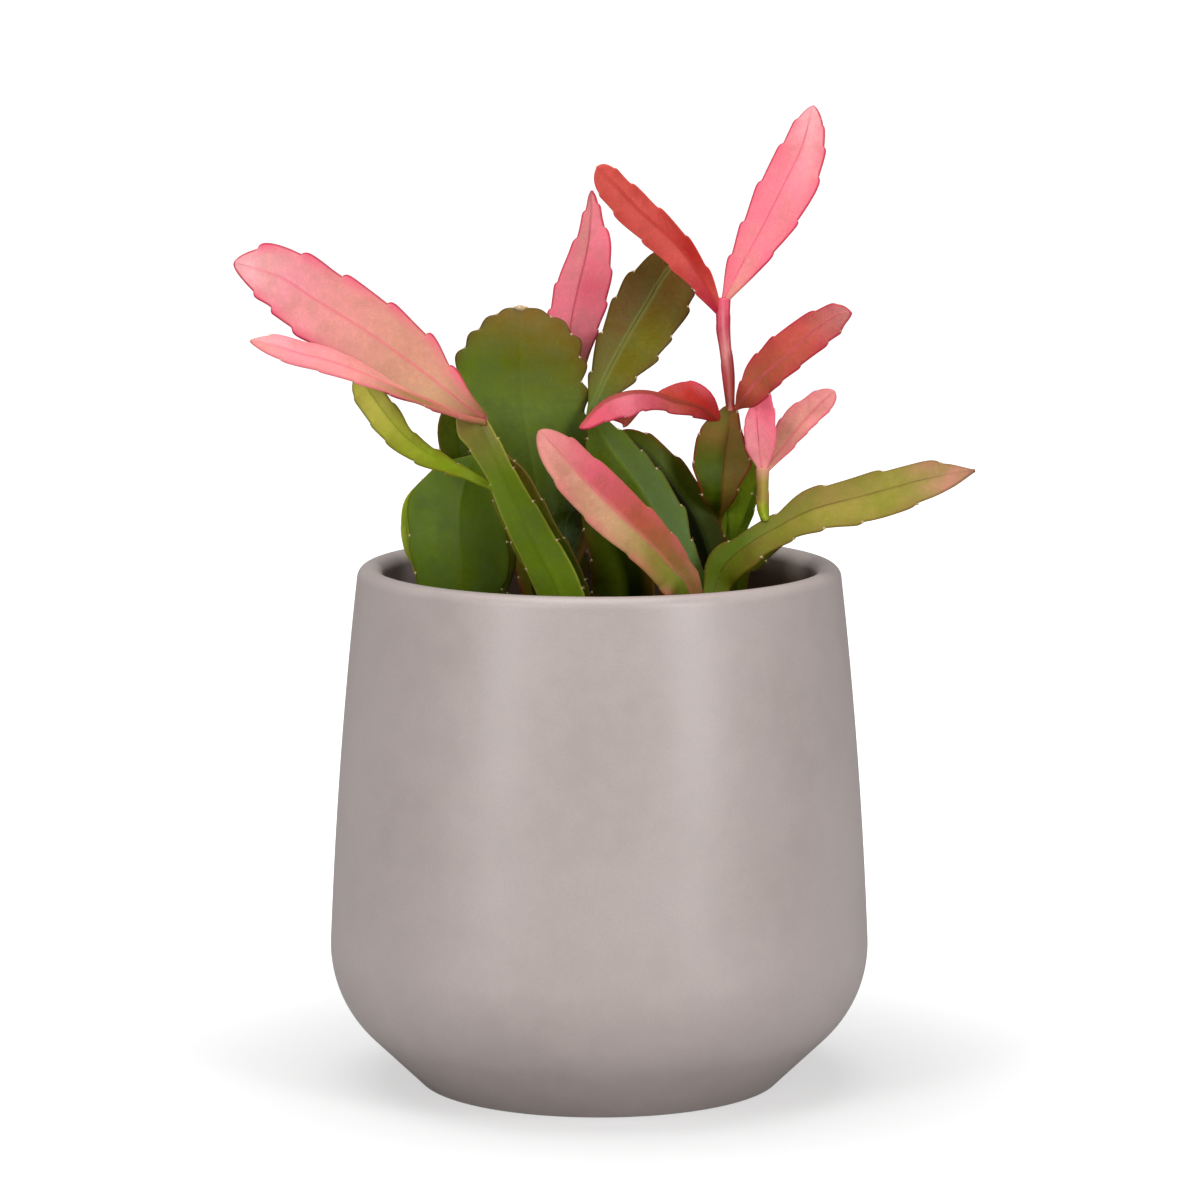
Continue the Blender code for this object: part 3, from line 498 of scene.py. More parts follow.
bed = bmesh.new()
rings = []
for ring in range(1, SOIL_RINGS + 1):
    radius = soil_edge * ring / SOIL_RINGS
    row = []
    for spoke in range(SOIL_SPOKES):
        angle = 2 * math.pi * spoke / SOIL_SPOKES
        x, y = radius * math.cos(angle), radius * math.sin(angle)
        row.append(bed.verts.new(Vector((x, y, soil_height(radius) + soil_lumps(x, y))) * MM))
    rings.append(row)
skirt_radius = wall_radius(SOIL_LEVEL - SOIL_SKIRT) - SOIL_TO_WALL
rings.append([
    bed.verts.new(Vector((v.co.x, v.co.y, 0.0)).normalized() * skirt_radius * MM
                  + Vector((0.0, 0.0, (SOIL_LEVEL - SOIL_SKIRT) * MM)))
    for v in rings[-1]
])
for inner, outer in zip(rings[:-1], rings[1:]):
    for k in range(SOIL_SPOKES):
        after = (k + 1) % SOIL_SPOKES
        bed.faces.new((inner[k], outer[k], outer[after], inner[after]))
middle = bed.verts.new(Vector((0.0, 0.0, soil_height(0.0) + soil_lumps(0.0, 0.0))) * MM)
for k in range(SOIL_SPOKES):
    bed.faces.new((middle, rings[0][k], rings[0][(k + 1) % SOIL_SPOKES]))
bed.faces.new(rings[-1][::-1])
bed_mesh = bpy.data.meshes.new("peat_bed")
bed.to_mesh(bed_mesh)
bed.free()
bed_mesh.shade_smooth()
peat_bed = place_in_scene("peat_bed", bed_mesh)
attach(peat_bed, "root")
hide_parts("potting_mix")
print("bed of", len(bed_mesh.vertices), "points")

# %% [markdown]
# ## Bark on the bed
# Loose bark lies on a real mix in flakes of many sizes, most of them small. Each crumb here is a
# low-sided ball that is stretched, squashed, turned and knocked out of shape by seeded chance, and
# pressed half into the bed. They are one mesh, because thousands of objects would be slow.

# %% Scatter the bark
BARK_PIECES = 760
BARK_SEED = 11
SMALLEST_CRUMB, CRUMB_RANGE, FEW_LARGE = 0.8, 2.6, 2.5
CRUMB_TIP = 16.0
CRUMB_STANDS = 0.2

chance = np.random.default_rng(BARK_SEED)
litter = bmesh.new()
shade_layer = litter.verts.layers.float.new("crumb_shade")
for number in range(BARK_PIECES):
    size = SMALLEST_CRUMB + CRUMB_RANGE * chance.random() ** FEW_LARGE
    radius = (soil_edge - size) * math.sqrt(chance.random())
    angle = 2 * math.pi * chance.random()
    x, y = radius * math.cos(angle), radius * math.sin(angle)
    wide, high = 0.45 + 0.4 * chance.random(), 0.3 + 0.3 * chance.random()
    shape = size * np.array((1.0, wide, high))
    turn_by = Matrix.Rotation(2 * math.pi * chance.random(), 4, "Z")
    tip_by = Matrix.Rotation(math.radians(chance.normal(0.0, CRUMB_TIP)), 4, "X")
    spot = Vector((x, y, soil_height(radius) + soil_lumps(x, y) + CRUMB_STANDS * size))
    place = Matrix.Translation(spot * MM) @ turn_by @ tip_by @ Matrix.Diagonal((*(shape * MM), 1.0))
    crumb = bmesh.ops.create_icosphere(litter, subdivisions=1, radius=1.0)["verts"]
    shade = chance.random()
    for vertex in crumb:
        vertex[shade_layer] = shade
        vertex.co = place @ (vertex.co * (0.72 + 0.5 * chance.random()))
litter_mesh = bpy.data.meshes.new("bark_crumbs")
litter.to_mesh(litter_mesh)
litter.free()
bark_crumbs = place_in_scene("bark_crumbs", litter_mesh)
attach(bark_crumbs, "root")
print(BARK_PIECES, "crumbs of bark,", len(litter_mesh.polygons), "faces")

# %% [markdown]
# ## Peat and bark
# The bed and the crumbs share one effect: damp earth that is dark in its hollows and paler on its
# dry fibres. It is a shader group with the two colours as inputs, so that each finish can set its
# own and both keep the same grain.

# %% Mix the earth
FIBRE_SCALE, LUMP_SCALE = 900.0, 220.0

group, bench, given, result = new_group(
    "earth_grain",
    [("Dark", "Color", (0.02, 0.012, 0.008, 1.0)), ("Pale", "Color", (0.08, 0.05, 0.03, 1.0))],
    [("Color", "Color"), ("Height", "Float")],
)
place = bench.on_object()
fibres = bench.cloud(place, FIBRE_SCALE, detail=5.0, roughness=0.65)
lumps = bench.cloud(place, LUMP_SCALE, detail=3.0, roughness=0.6)
both = bench.plus(bench.times(fibres, 0.6), bench.times(lumps, 0.4))
earth = bench.mix(bench.ramp(both, 0.38, 0.66), given["Dark"], given["Pale"])
bench.feed(result["Color"], earth)
bench.feed(result["Height"], both)
earth_grain = group
print("one grain of earth, for two finishes")

# %% [markdown]
# ## The two earths
# Peat is the darker and rougher of the two. Each crumb of bark also has a shade of its own, written
# on its points when it was made, so that the bark doesn't look cut from one piece.

# %% Finish the peat and the bark
peat, bench, shader = new_finish("damp_peat")
grain = bench.add("Group", {"node_tree": earth_grain},
                  Dark=paint(34, 24, 18), Pale=paint(84, 62, 44)).outputs
bench.feed(shader.inputs["Base Color"], grain["Color"])
bench.feed(shader.inputs["Roughness"], bench.ramp(grain["Height"], 0.3, 0.7, 0.75, 0.98))
bench.relief(shader, strength=0.8, distance=0.0006, height=grain["Height"])
bed_mesh.materials.append(peat)

bark, bench, shader = new_finish("crumbled_bark")
grain = bench.add("Group", {"node_tree": earth_grain},
                  Dark=paint(46, 30, 20), Pale=paint(120, 88, 60)).outputs
shade = bench.attribute("crumb_shade").outputs["Fac"]
tinted = bench.mix(shade, paint(120, 105, 95), paint(255, 240, 225))
tinted = bench.mix(1.0, grain["Color"], tinted, "MULTIPLY")
bench.feed(shader.inputs["Base Color"], tinted)
bench.feed(shader.inputs["Roughness"], bench.ramp(grain["Height"], 0.3, 0.7, 0.65, 0.95))
bench.relief(shader, strength=0.7, distance=0.0004, height=grain["Height"])
litter_mesh.materials.append(bark)
print("peat and bark mixed from one grain")

# %% [markdown]
# ## What a stem segment is
# The plant has no leaves: its flat, leaf-like blades are stems. Each grows along a midrib from a
# narrow neck, and its margin swells into blunt teeth that end in a notch with a felted spot, the
# areole. One could model each blade by hand, but all follow one rule: a curve in space for the rib,
# a half-width at each point on its left and right, a list of notches, a roll about the rib and a
# fold along it. First come the two curves that the rule needs, one in space and one for widths.

# %% Curves for the rib and the margins


def unit(vectors):
    """Vectors of length one."""
    return vectors / np.linalg.norm(vectors, axis=-1, keepdims=True)


def smooth_curve(points, samples):
    """A curve through the points, sampled evenly in each span."""
    points = np.array(points, float)
    ends = np.vstack((2 * points[0] - points[1], points, 2 * points[-1] - points[-2]))
    per_span = samples // (len(points) - 1)
    s = (np.arange(per_span) / per_span)[:, None]
    found = []
    for before, start, end, after in zip(ends, ends[1:], ends[2:], ends[3:]):
        found.append(0.5 * (
            2 * start
            + (end - before) * s
            + (2 * before - 5 * start + 4 * end - after) * s ** 2
            + (3 * start - before - 3 * end + after) * s ** 3
        ))
    return np.vstack(found + [points[-1:]])


def eased(fraction, stations, values):
    """Values between stations, with no overshoot."""
    stations = np.array(stations, float)
    values = np.array(values, float)
    steps = np.diff(values) / np.diff(stations)
    slopes = np.concatenate((steps[:1], np.zeros(len(values) - 2), steps[-1:]))
    for i in range(1, len(values) - 1):
        if steps[i - 1] * steps[i] > 0:
            slopes[i] = 2 * steps[i - 1] * steps[i] / (steps[i - 1] + steps[i])
    place = np.clip(np.searchsorted(stations, fraction) - 1, 0, len(steps) - 1)
    width = stations[place + 1] - stations[place]
    s = (fraction - stations[place]) / width
    rise = values[place + 1] - values[place]
    start = slopes[place] * width
    end = slopes[place + 1] * width
    bend = s * (3 * rise - 2 * start - end + s * (start + end - 2 * rise))
    return values[place] + s * (start + bend)


print("a curve through two points has", len(smooth_curve([(0, 0, 0), (1, 0, 0)], 8)), "samples")

# %% [markdown]
# ## The rule for every segment
# A class holds the rule, so each blade is a few numbers. Places on a blade are given as along, 0 at
# the neck and 1 at the tip, and across, -1 at the left margin, 0 at the rib and 1 at the right one.
# A rooted segment starts in the mix, and any other at a place on its parent. Lengths are in mm.

# %% Write the rule
NECK_DEPTH, NECK_RISE = 7.6, 1.0
NECK_HALF_WIDTH = 1.2
TIP_HALF_WIDTH = 0.4
TOOTH_FULL_LENGTH = 9.0
TOOTH_HEIGHT, TOOTH_CLIMB, TOOTH_DROP, TOOTH_ROUNDING = 1.25, 1.3, 14, 0.8
ROUND_TEETH_BELOW = 2.0
RIB_SAMPLES = 240
FRONT = np.array((0.0, -1.0, 0.0))
FRONT_AND_UP = np.array((0.0, -1.0, 1.0))


class Segment:
    """One flat stem segment: a rib in space, with a half-width on each side of it."""

    def __init__(self, name, rib, notches, root=None, grows_from=None, seat=0.3,
                 roll=0, fold=0, blunt=0.1, tooth=0.8, lean=2.5, thickness=1.2,
                 faces=FRONT, sink=4.5, sink_width=0.3, scar=0.0):
        self.name, self.root = name, root
        self.roll, self.fold, self.faces = roll, fold, faces
        self.blunt, self.tooth, self.lean, self.thickness = blunt, tooth, lean, thickness
        self.sink, self.sink_width, self.scar = sink, sink_width, scar
        self.parent = grows_from[0] if grows_from else None
        points = [np.array(point[:3], float) for point in rib]
        neck = [NECK_HALF_WIDTH]
        if root:
            surface = soil_height(math.hypot(*root))
            depths = (surface - NECK_DEPTH, surface + NECK_RISE)
            points = [np.array((*root, depth)) for depth in depths] + points
            neck = [NECK_HALF_WIDTH, NECK_HALF_WIDTH]
        else:
            parent, along, across = grows_from
            anchor = parent.points(np.array([along]), np.array([across]))[0]
            points = [anchor + seat * unit(points[0] - anchor)] + points
        self.widths = {-1: neck + [point[3] for point in rib],
                       1: neck + [point[4] for point in rib]}
        self.notches = {-1: notches[0], 1: notches[1]}
        self.curve = smooth_curve(points, RIB_SAMPLES)
        lengths = np.linalg.norm(np.diff(self.curve, axis=0), axis=1)
        travelled = np.concatenate(((0.0,), np.cumsum(lengths)))
        self.length = travelled[-1]
        self.travelled = travelled / self.length
        self.stations = self.travelled[::(len(self.curve) - 1) // (len(points) - 1)]
        self.neck_end = self.stations[1] if root else 0.0
        self.directions = unit(np.gradient(self.curve, axis=0))

    def tooth_bulge(self, along, side):
        """How far the margin stands out between two notches, most near the outer one."""
        ends = np.array([self.neck_end, *self.notches[side]])
        place = np.searchsorted(ends, along, side="right") - 1
        inside = (place >= 0) & (place < len(ends) - 1)
        place = np.clip(place, 0, len(ends) - 2)
        span = ends[place + 1] - ends[place]
        s = np.clip((along - ends[place]) / span, 0.0, 1.0)
        depth = self.tooth * np.minimum(1.0, span * self.length / TOOTH_FULL_LENGTH)
        if self.lean < ROUND_TEETH_BELOW:
            shape = np.sin(np.pi * s ** self.lean)
        else:
            shape = TOOTH_HEIGHT * s ** TOOTH_CLIMB * (1.0 - s ** TOOTH_DROP) ** TOOTH_ROUNDING
        return np.where(inside, depth * shape, 0.0)

    def into_tip(self, along):
        """How far into the rounded tip: 0 where it starts, 1 at its end."""
        return np.maximum(0.0, (along - 1 + self.blunt) / self.blunt)

    def half_width(self, along, side):
        """From the rib to the margin on one side, rounded off at the tip."""
        width = eased(along, self.stations, self.widths[side]) + self.tooth_bulge(along, side)
        rounding = np.sqrt(np.maximum(0.0, 1 - self.into_tip(along) ** 2))
        return np.maximum(width * rounding, TIP_HALF_WIDTH)

    def on_both_sides(self, across, measure, along):
        """A measure of (along, side), taken on the side of the rib where each point lies."""
        return np.where(across < 0, measure(along, -1), measure(along, 1))

    def turned(self, along, angles):
        """Angles at even steps from neck to tip, or one angle for the whole length."""
        angles = np.atleast_1d(angles)
        return np.interp(along, np.linspace(0, 1, len(angles)), angles)

    def on_curve(self, along, values):
        """Three numbers for each sample of the rib, read at any place along it."""
        return np.stack([np.interp(along, self.travelled, values[:, k]) for k in range(3)], -1)

    def points(self, along, across):
        """Points of the middle surface."""
        side = np.where(across < 0, -1.0, 1.0)
        growth = unit(self.on_curve(along, self.directions))
        sideways = unit(np.cross(growth, self.faces))
        facing = np.cross(sideways, growth)
        angle = np.radians(self.turned(along, self.roll) + side * self.turned(along, self.fold))
        outwards = np.cos(angle)[..., None] * sideways + np.sin(angle)[..., None] * facing
        reach = self.on_both_sides(across, self.half_width, along) * across
        bulge = self.on_both_sides(across, self.tooth_bulge, along)
        ahead = bulge * self.into_tip(along) * across ** 2
        return (self.on_curve(along, self.curve)
                + reach[..., None] * outwards + ahead[..., None] * growth)


print("the rule samples each rib", RIB_SAMPLES, "times")

# %% [markdown]
# ## Planting and growing
# A segment either stands in the mix or grows from an older one, so there are two short calls, and
# the cells below read like a gardener's notes. Each point of a rib is its place, then the
# half-widths at its left and its right. The notches are fractions of the length, first those of the
# left margin, then those of the right one.

# %% Plant and grow
segments = {}


def plant(name, **shape):
    """A segment that stands in the potting mix."""
    segments[name] = Segment(name, **shape)


def grow(name, parent, joint, **shape):
    """A segment that grows from a place (along, across) on an older one."""
    segments[name] = Segment(name, grows_from=(segments[parent], *joint), **shape)


def tell(what):
    """Prints what was made, and how many segments there are."""
    print(what + ":", len(segments), "segments so far")


tell("an empty pot")

# %% [markdown]
# ## The two broad pads
# The oldest segments are pads as wide as they are long. A pad is the same rule with wide halves
# and a blunt tip, so its notches run round the top like the edge of a scallop.

# %% The two broad pads
plant("pad_round", root=(-11, 13), roll=5, fold=-5, blunt=0.2, lean=1.4, scar=1.5, tooth=2.2,
      rib=((-14, 12, 144, 7, 9.5), (-16, 12, 156, 10.5, 14), (-18.5, 11, 168.5, 14, 17),
           (-20.5, 7, 181, 18.5, 16), (-21, 4, 192, 17.5, 16.5), (-21, 3, 201.5, 16, 18),
           (-21, 3, 208.5, 14.5, 16)),
      notches=((0.3, 0.46, 0.62, 0.76, 0.83, 0.89, 0.94, 0.98, 0.999),
               (0.26, 0.42, 0.57, 0.69, 0.8, 0.87, 0.93, 0.975, 0.999)))
plant("pad_left", root=(-33, -8), roll=10, fold=-6, blunt=0.1, lean=1.6, tooth=0.5,
      rib=((-36, -9, 131.5, 11, 9.6), (-36.5, -9, 139.5, 13.2, 12.3),
           (-37, -9, 147.5, 13.9, 12.7), (-37, -8, 155.5, 14.3, 11.3), (-35.5, -7, 163, 10, 7.6),
           (-32.5, -6, 170.5, 1.5, 2.5)),
      notches=((0.28, 0.5, 0.66, 0.84), (0.22, 0.42, 0.62, 0.82)))
tell("the two broad pads")

# %% [markdown]
# ## The front straps
# Long straps lean out between the pads. They could be flat cards that only look right from the
# front, but their ribs are curves in space, so a strap that comes towards the viewer really does.

# %% The front straps
plant("strap_left", root=(-4, -22), roll=(10, 10, -10), fold=-8, blunt=0.06, tooth=0.3,
      rib=((-10.5, -25, 136, 6.2, 6), (-15.5, -26, 146.5, 5.5, 5.5), (-20.5, -27, 156.5, 5, 4.7),
           (-25, -27, 166, 4, 3.6), (-28.5, -26.5, 174.5, 5, 2.8), (-31.5, -26, 180.5, 6.3, 2.5),
           (-36, -25, 185, 5, 3)),
      notches=((0.3, 0.46, 0.6, 0.74, 0.86), (0.34, 0.5, 0.64, 0.76, 0.86)))
plant("strap_left_back", root=(-4, -13), roll=10, blunt=0.1, tooth=0.5,
      rib=((-9.5, -16, 135, 6, 6.5), (-14, -17, 143.5, 6.3, 7.1), (-18, -17, 152, 6.6, 6.2),
           (-22.5, -17, 162.5, 6.5, 5.1), (-26.5, -17, 171, 5.4, 2.4), (-29, -17, 176.5, 3, 1.6)),
      notches=((0.28, 0.46, 0.62, 0.78), (0.4, 0.56, 0.72, 0.88)))
plant("strap_glaucous", root=(28, 0), roll=-12, fold=-5, blunt=0.02,
      rib=((26, -2, 133, 5, 3.1), (22, -1, 142.5, 7.5, 3.9), (16, 0, 152, 7.7, 7.2),
           (9.5, 1, 162, 7.9, 7), (3, 2, 170.5, 6.4, 5.7), (-0.5, 3, 176.5, 3, 3.7),
           (-2.5, 4, 181, 1.2, 1.2)),
      notches=((0.3, 0.44, 0.58, 0.7, 0.82, 0.92), (0.37, 0.47, 0.58, 0.72, 0.79, 0.9)))
plant("strap_arching", root=(33, 9), roll=-25, blunt=0.1,
      rib=((30.5, 9, 136, 5, 4.5), (29, 10, 143, 6, 5.7), (25.5, 11, 152, 6.5, 5.8),
           (19.5, 11, 160.5, 6.5, 5.9), (13, 10, 168.5, 5.7, 4.6), (5.5, 9, 174.5, 4, 3.5)),
      notches=((0.3, 0.44, 0.58, 0.72, 0.86), (0.36, 0.5, 0.66, 0.8, 0.92)))
plant("strap_right", root=(25, -9), roll=(20, 30, 30), fold=10, blunt=0.06,
      rib=((31, -6, 134, 3.2, 4), (33.5, -7, 140.5, 4.6, 5.4), (40, -9, 146.5, 3.4, 5.4),
           (46.5, -10, 150.5, 3.3, 5.2), (56.5, -13, 156, 5.4, 6.2), (71, -17, 160.5, 5.3, 7.6),
           (85.5, -21, 165, 4.6, 6.2), (98.5, -24, 168, 0.9, 1.2)),
      notches=((0.2, 0.37, 0.5, 0.63, 0.78, 0.92), (0.26, 0.42, 0.52, 0.61, 0.71, 0.85)))
plant("strap_right_low", root=(38, -2), roll=25, blunt=0.1, tooth=0.4,
      rib=((37.5, 0, 137, 2.6, 2.6), (41.5, 1, 141.5, 2.8, 3), (46, 2, 146, 2.8, 3),
           (50.5, 3, 149.5, 2.6, 2.6), (55, 4, 153, 2, 2)),
      notches=((0.3, 0.6, 0.8), (0.4, 0.7, 0.9)))
plant("strap_right_back", root=(36, 17), roll=15, blunt=0.1, tooth=0.4,
      rib=((36.5, 18, 138.5, 2.2, 2), (38, 19, 146, 3.4, 1.6), (40, 18, 155, 3.9, 2.6),
           (41.2, 18, 161.5, 3, 2), (42.3, 18, 167.5, 2, 1.5)),
      notches=((0.3, 0.5, 0.7, 0.86), (0.36, 0.56, 0.76, 0.9)))
plant("sliver_left", root=(-45, 4), roll=50, blunt=0.12, tooth=0.3,
      rib=((-47.5, 1, 137, 3, 3), (-50, 1, 143.5, 3.2, 3.2), (-51, 1, 150, 3, 3),
           (-50.5, 1, 155.5, 2.8, 2.8), (-48, 1, 161, 2, 2)),
      notches=((0.35, 0.6, 0.8), (0.45, 0.7, 0.88)))
tell("the front straps")

# %% [markdown]
# ## The dark blades inside and behind
# Behind the ones that the photograph shows, a full pot has more. The back could be left empty,
# but a part is seen from all sides. These fill the middle and the back, and three of them arch over
# the rear of the lip.

# %% The dark blades inside and behind
plant("blade_left_dark", root=(-27, 3), roll=-15, blunt=0.15,
      rib=((-31, 1, 141, 3.5, 2.8), (-34.5, 0, 154.5, 4.2, 5.4), (-37, -1, 166.5, 4.6, 5.5),
           (-38, -2, 177, 5.4, 5.5), (-37.5, -3, 186, 4.5, 4.5)),
      notches=((0.3, 0.48, 0.66, 0.82), (0.38, 0.56, 0.74, 0.9)))
plant("blade_centre_low", root=(8, -12), roll=5, blunt=0.12, tooth=0.6,
      rib=((7, -14, 134, 9, 7.5), (6, -15, 140.5, 8, 7.1), (3, -16, 148.5, 6, 5.1),
           (0, -16, 155, 5, 3.5), (-3, -16, 160.5, 3.5, 2.5)),
      notches=((0.3, 0.5, 0.7, 0.86), (0.4, 0.6, 0.78, 0.9)))
plant("strap_behind_pad", root=(-8, 26), roll=-10, blunt=0.05,
      rib=((-10, 26, 140, 6.5, 6.5), (-12, 25, 158, 7, 7), (-9.5, 21, 176, 5, 4),
           (-6.5, 18, 186, 1.4, 1.4)),
      notches=((0.3, 0.5, 0.7, 0.86), (0.4, 0.6, 0.78, 0.92)))
plant("strap_back_middle", root=(10, 24), roll=15, blunt=0.15,
      rib=((9.5, 27, 138, 6, 6), (9, 33, 152, 7, 7), (7, 39, 163, 4.5, 4.5)),
      notches=((0.35, 0.6, 0.82), (0.45, 0.7, 0.9)))
plant("pad_back_left", root=(-28, 20), roll=-12, blunt=0.25, lean=1.6,
      rib=((-31, 24, 138, 8, 8), (-33, 28, 149, 9.5, 9.5), (-34, 31, 160, 8, 8)),
      notches=((0.35, 0.55, 0.75, 0.9), (0.4, 0.62, 0.82, 0.94)))
plant("strap_back_right", root=(27, 27), roll=20, blunt=0.15,
      rib=((30, 31, 138, 4.5, 4), (32.5, 35, 151, 5, 4.4), (33, 38, 162, 3.5, 3.5)),
      notches=((0.35, 0.6, 0.82), (0.45, 0.7, 0.9)))
plant("strap_over_back", root=(3, 40), fold=8, blunt=0.12, faces=FRONT_AND_UP,
      rib=((3, 50, 136, 5.5, 5.5), (3, 62, 149, 7, 7), (2, 78, 156, 7.5, 7.5),
           (0, 96, 157, 5, 5)),
      notches=((0.3, 0.46, 0.62, 0.78, 0.92), (0.38, 0.54, 0.7, 0.85, 0.96)))
plant("strap_back_left_long", root=(-17, 36), fold=8, blunt=0.12, faces=FRONT_AND_UP,
      rib=((-20, 45, 138, 5, 5), (-26, 58, 150, 6.5, 6.5), (-32, 74, 156, 6.5, 6.5),
           (-37, 88, 157, 4.5, 4.5)),
      notches=((0.3, 0.46, 0.62, 0.78, 0.92), (0.38, 0.54, 0.7, 0.85, 0.96)))
plant("strap_over_back_right", root=(19, 38), fold=8, blunt=0.12, faces=FRONT_AND_UP,
      rib=((21, 47, 138, 4.5, 4.5), (25, 59, 149, 5.5, 5.5), (29, 72, 153, 4, 4)),
      notches=((0.35, 0.55, 0.75, 0.9), (0.45, 0.65, 0.84, 0.95)))
tell("the dark blades inside and behind")

# %% [markdown]
# ## The pink arm that rises from the mix
# One young segment is rooted too. New growth is pink and thin, and it crosses in front of the
# green straps, so its rib runs nearer to the viewer than theirs.

# %% The pink arm that rises from the mix
plant("arm_rose_front", root=(29, -24), roll=-25, fold=6, blunt=0.1, tooth=0.6,
      rib=((23.5, -29, 137, 6.4, 3.6), (19.5, -31, 142.5, 6.6, 5.2), (13.5, -34, 149.5, 6.4, 6.5),
           (5, -38, 158, 7.2, 7), (-4, -42, 167.5, 7, 6.4), (-15.5, -47, 181, 4.8, 3.8)),
      notches=((0.25, 0.42, 0.57, 0.74, 0.87), (0.3, 0.5, 0.6, 0.82, 0.92)))
tell("the pink arm that rises from the mix")

# %% [markdown]
# ## The arms on the left
# Each new segment grows from a notch near the end of an older one. Its first rib point is
# therefore measured from a place on its parent: how far along, and how far across.

# %% The arms on the left
grow("arm_pink_broad", "strap_left", joint=(0.93, 0.85), seat=0.0, sink=1.2, roll=-15, fold=5,
     blunt=0.12, tooth=1.2,
     rib=((-35.5, -29, 186, 3.4, 2.8), (-41, -29.3, 190.6, 6.6, 5), (-49, -30, 196.8, 9.4, 8.4),
          (-61.5, -32.5, 206, 9.8, 9.2), (-73, -36, 213.5, 9.8, 8.9), (-82.5, -39, 220, 8, 7.6),
          (-94, -42, 224, 4, 4.4)),
     notches=((0.175, 0.36, 0.55, 0.72, 0.825, 0.915), (0.21, 0.33, 0.49, 0.66, 0.815, 0.935)))
grow("arm_pink_slim", "strap_left", joint=(0.92, 0.62), seat=0.0, sink=1.2,
     roll=(-60, -80, -78, -65, -58, -55, -50), fold=-4, blunt=0.1, tooth=0.5,
     rib=((-36, -34.2, 183.2, 0.7, 0.8), (-41.8, -37.5, 186, 1.4, 2.2),
          (-50, -41.5, 190, 2.9, 4.2), (-61, -45, 195.2, 3.6, 5.4), (-69.5, -47, 198.6, 3.9, 6.2),
          (-77, -48, 200.6, 3.6, 6), (-83, -49, 202.6, 3.4, 5.2), (-89.5, -50, 204.5, 2.2, 2.6)),
     notches=((0.16, 0.32, 0.46, 0.6, 0.74, 0.88), (0.14, 0.3, 0.45, 0.63, 0.79, 0.93)))
grow("arm_yellow_green", "strap_left", joint=(0.74, -1.1), seat=1.9, roll=(-20, 10),
     fold=(10, 15), blunt=0.12, tooth=0.5,
     rib=((-34.5, -28.5, 167.5, 1.4, 1.2), (-41.5, -28, 171, 2.9, 1.9),
          (-46.5, -27, 174, 3.9, 2.1), (-51, -26, 177.5, 4.5, 2.4), (-55, -25, 182, 4.9, 3.3),
          (-58.5, -23, 186.5, 4.6, 3.3), (-61, -21, 190, 4.2, 3), (-63, -20, 194, 3, 2.5)),
     notches=((0.22, 0.4, 0.58, 0.7, 0.88), (0.18, 0.34, 0.5, 0.72, 0.9)))
tell("the arms on the left")

# %% [markdown]
# ## The blades that stand up in the middle
# A rose blade and an olive one continue two of the straps upwards. Both are joined to a tip, as on
# the plant, and not drawn as one long strap, because the waist at the joint shows.

# %% The blades that stand up in the middle
grow("blade_rose_upright", "strap_behind_pad", joint=(1.0, 0.0), seat=0.7, roll=20, fold=10,
     blunt=0.04,
     rib=((-6.5, 18.5, 192, 4.3, 3.5), (-7.5, 20, 201, 6.4, 8.3), (-5.5, 24, 211.5, 6.3, 9),
          (-3, 28, 222, 4.2, 6.8), (-2, 31, 231, 2.1, 2.8), (-2, 33, 237.5, 0.8, 0.8)),
     notches=((0.2, 0.36, 0.5, 0.75, 0.9), (0.26, 0.43, 0.61, 0.81, 0.93)))
grow("blade_olive", "strap_glaucous", joint=(1.0, 0.6), seat=0.6, roll=(0, -10), fold=12,
     blunt=0.15, tooth=1.0,
     rib=((2.5, 10, 191, 5, 7), (7.5, 13, 200, 7.2, 10), (13, 15, 209, 8.8, 10.4),
          (17.5, 16, 216.5, 6.6, 9.5), (22.5, 17, 221.5, 3.8, 6)),
     notches=((0.18, 0.4, 0.6, 0.78, 0.92), (0.27, 0.44, 0.58, 0.76, 0.9)))
tell("the blades that stand up in the middle")

# %% [markdown]
# ## The stem on the right and what it carries
# A winged stem carries a round pink stalk, and that carries the tallest arms. The stalk is the
# same rule once more with narrow halves and a thick middle.

# %% The stem on the right and what it carries
grow("stem_winged", "strap_arching", joint=(0.56, 1.05), seat=1.8, fold=(15, 25), blunt=0.02,
     tooth=0.5,
     rib=((33, 7, 159, 6, 4), (33.5, 7, 167, 8.9, 7.4), (34.5, 6, 175, 8.3, 4),
          (35, 6, 182, 1.7, 1.7)),
     notches=((0.25, 0.5, 0.75, 0.92), (0.3, 0.58, 0.8, 0.95)))
grow("stem_wing_back", "strap_arching", joint=(0.47, 1.2), seat=2.0, roll=10, fold=5, blunt=0.1,
     tooth=0.4,
     rib=((37.5, 12, 155.5, 3, 2.6), (40, 12.5, 162.5, 4, 3), (42.2, 12, 170.5, 4, 3.2),
          (43.7, 12, 177, 3, 2.6)),
     notches=((0.3, 0.55, 0.8), (0.4, 0.65, 0.88)))
grow("stem_pink", "stem_winged", joint=(1.0, 0.0), seat=0.0, sink=1.5, sink_width=1.2,
     thickness=2.6, tooth=0.2, blunt=0.02,
     rib=((34.5, 6, 190, 1.6, 1.6), (33.6, 5, 197, 1.5, 1.7), (33, 4, 203.5, 1.8, 1.8),
          (33, 4, 211, 2, 2)),
     notches=((0.4, 0.75), (0.5, 0.85)))
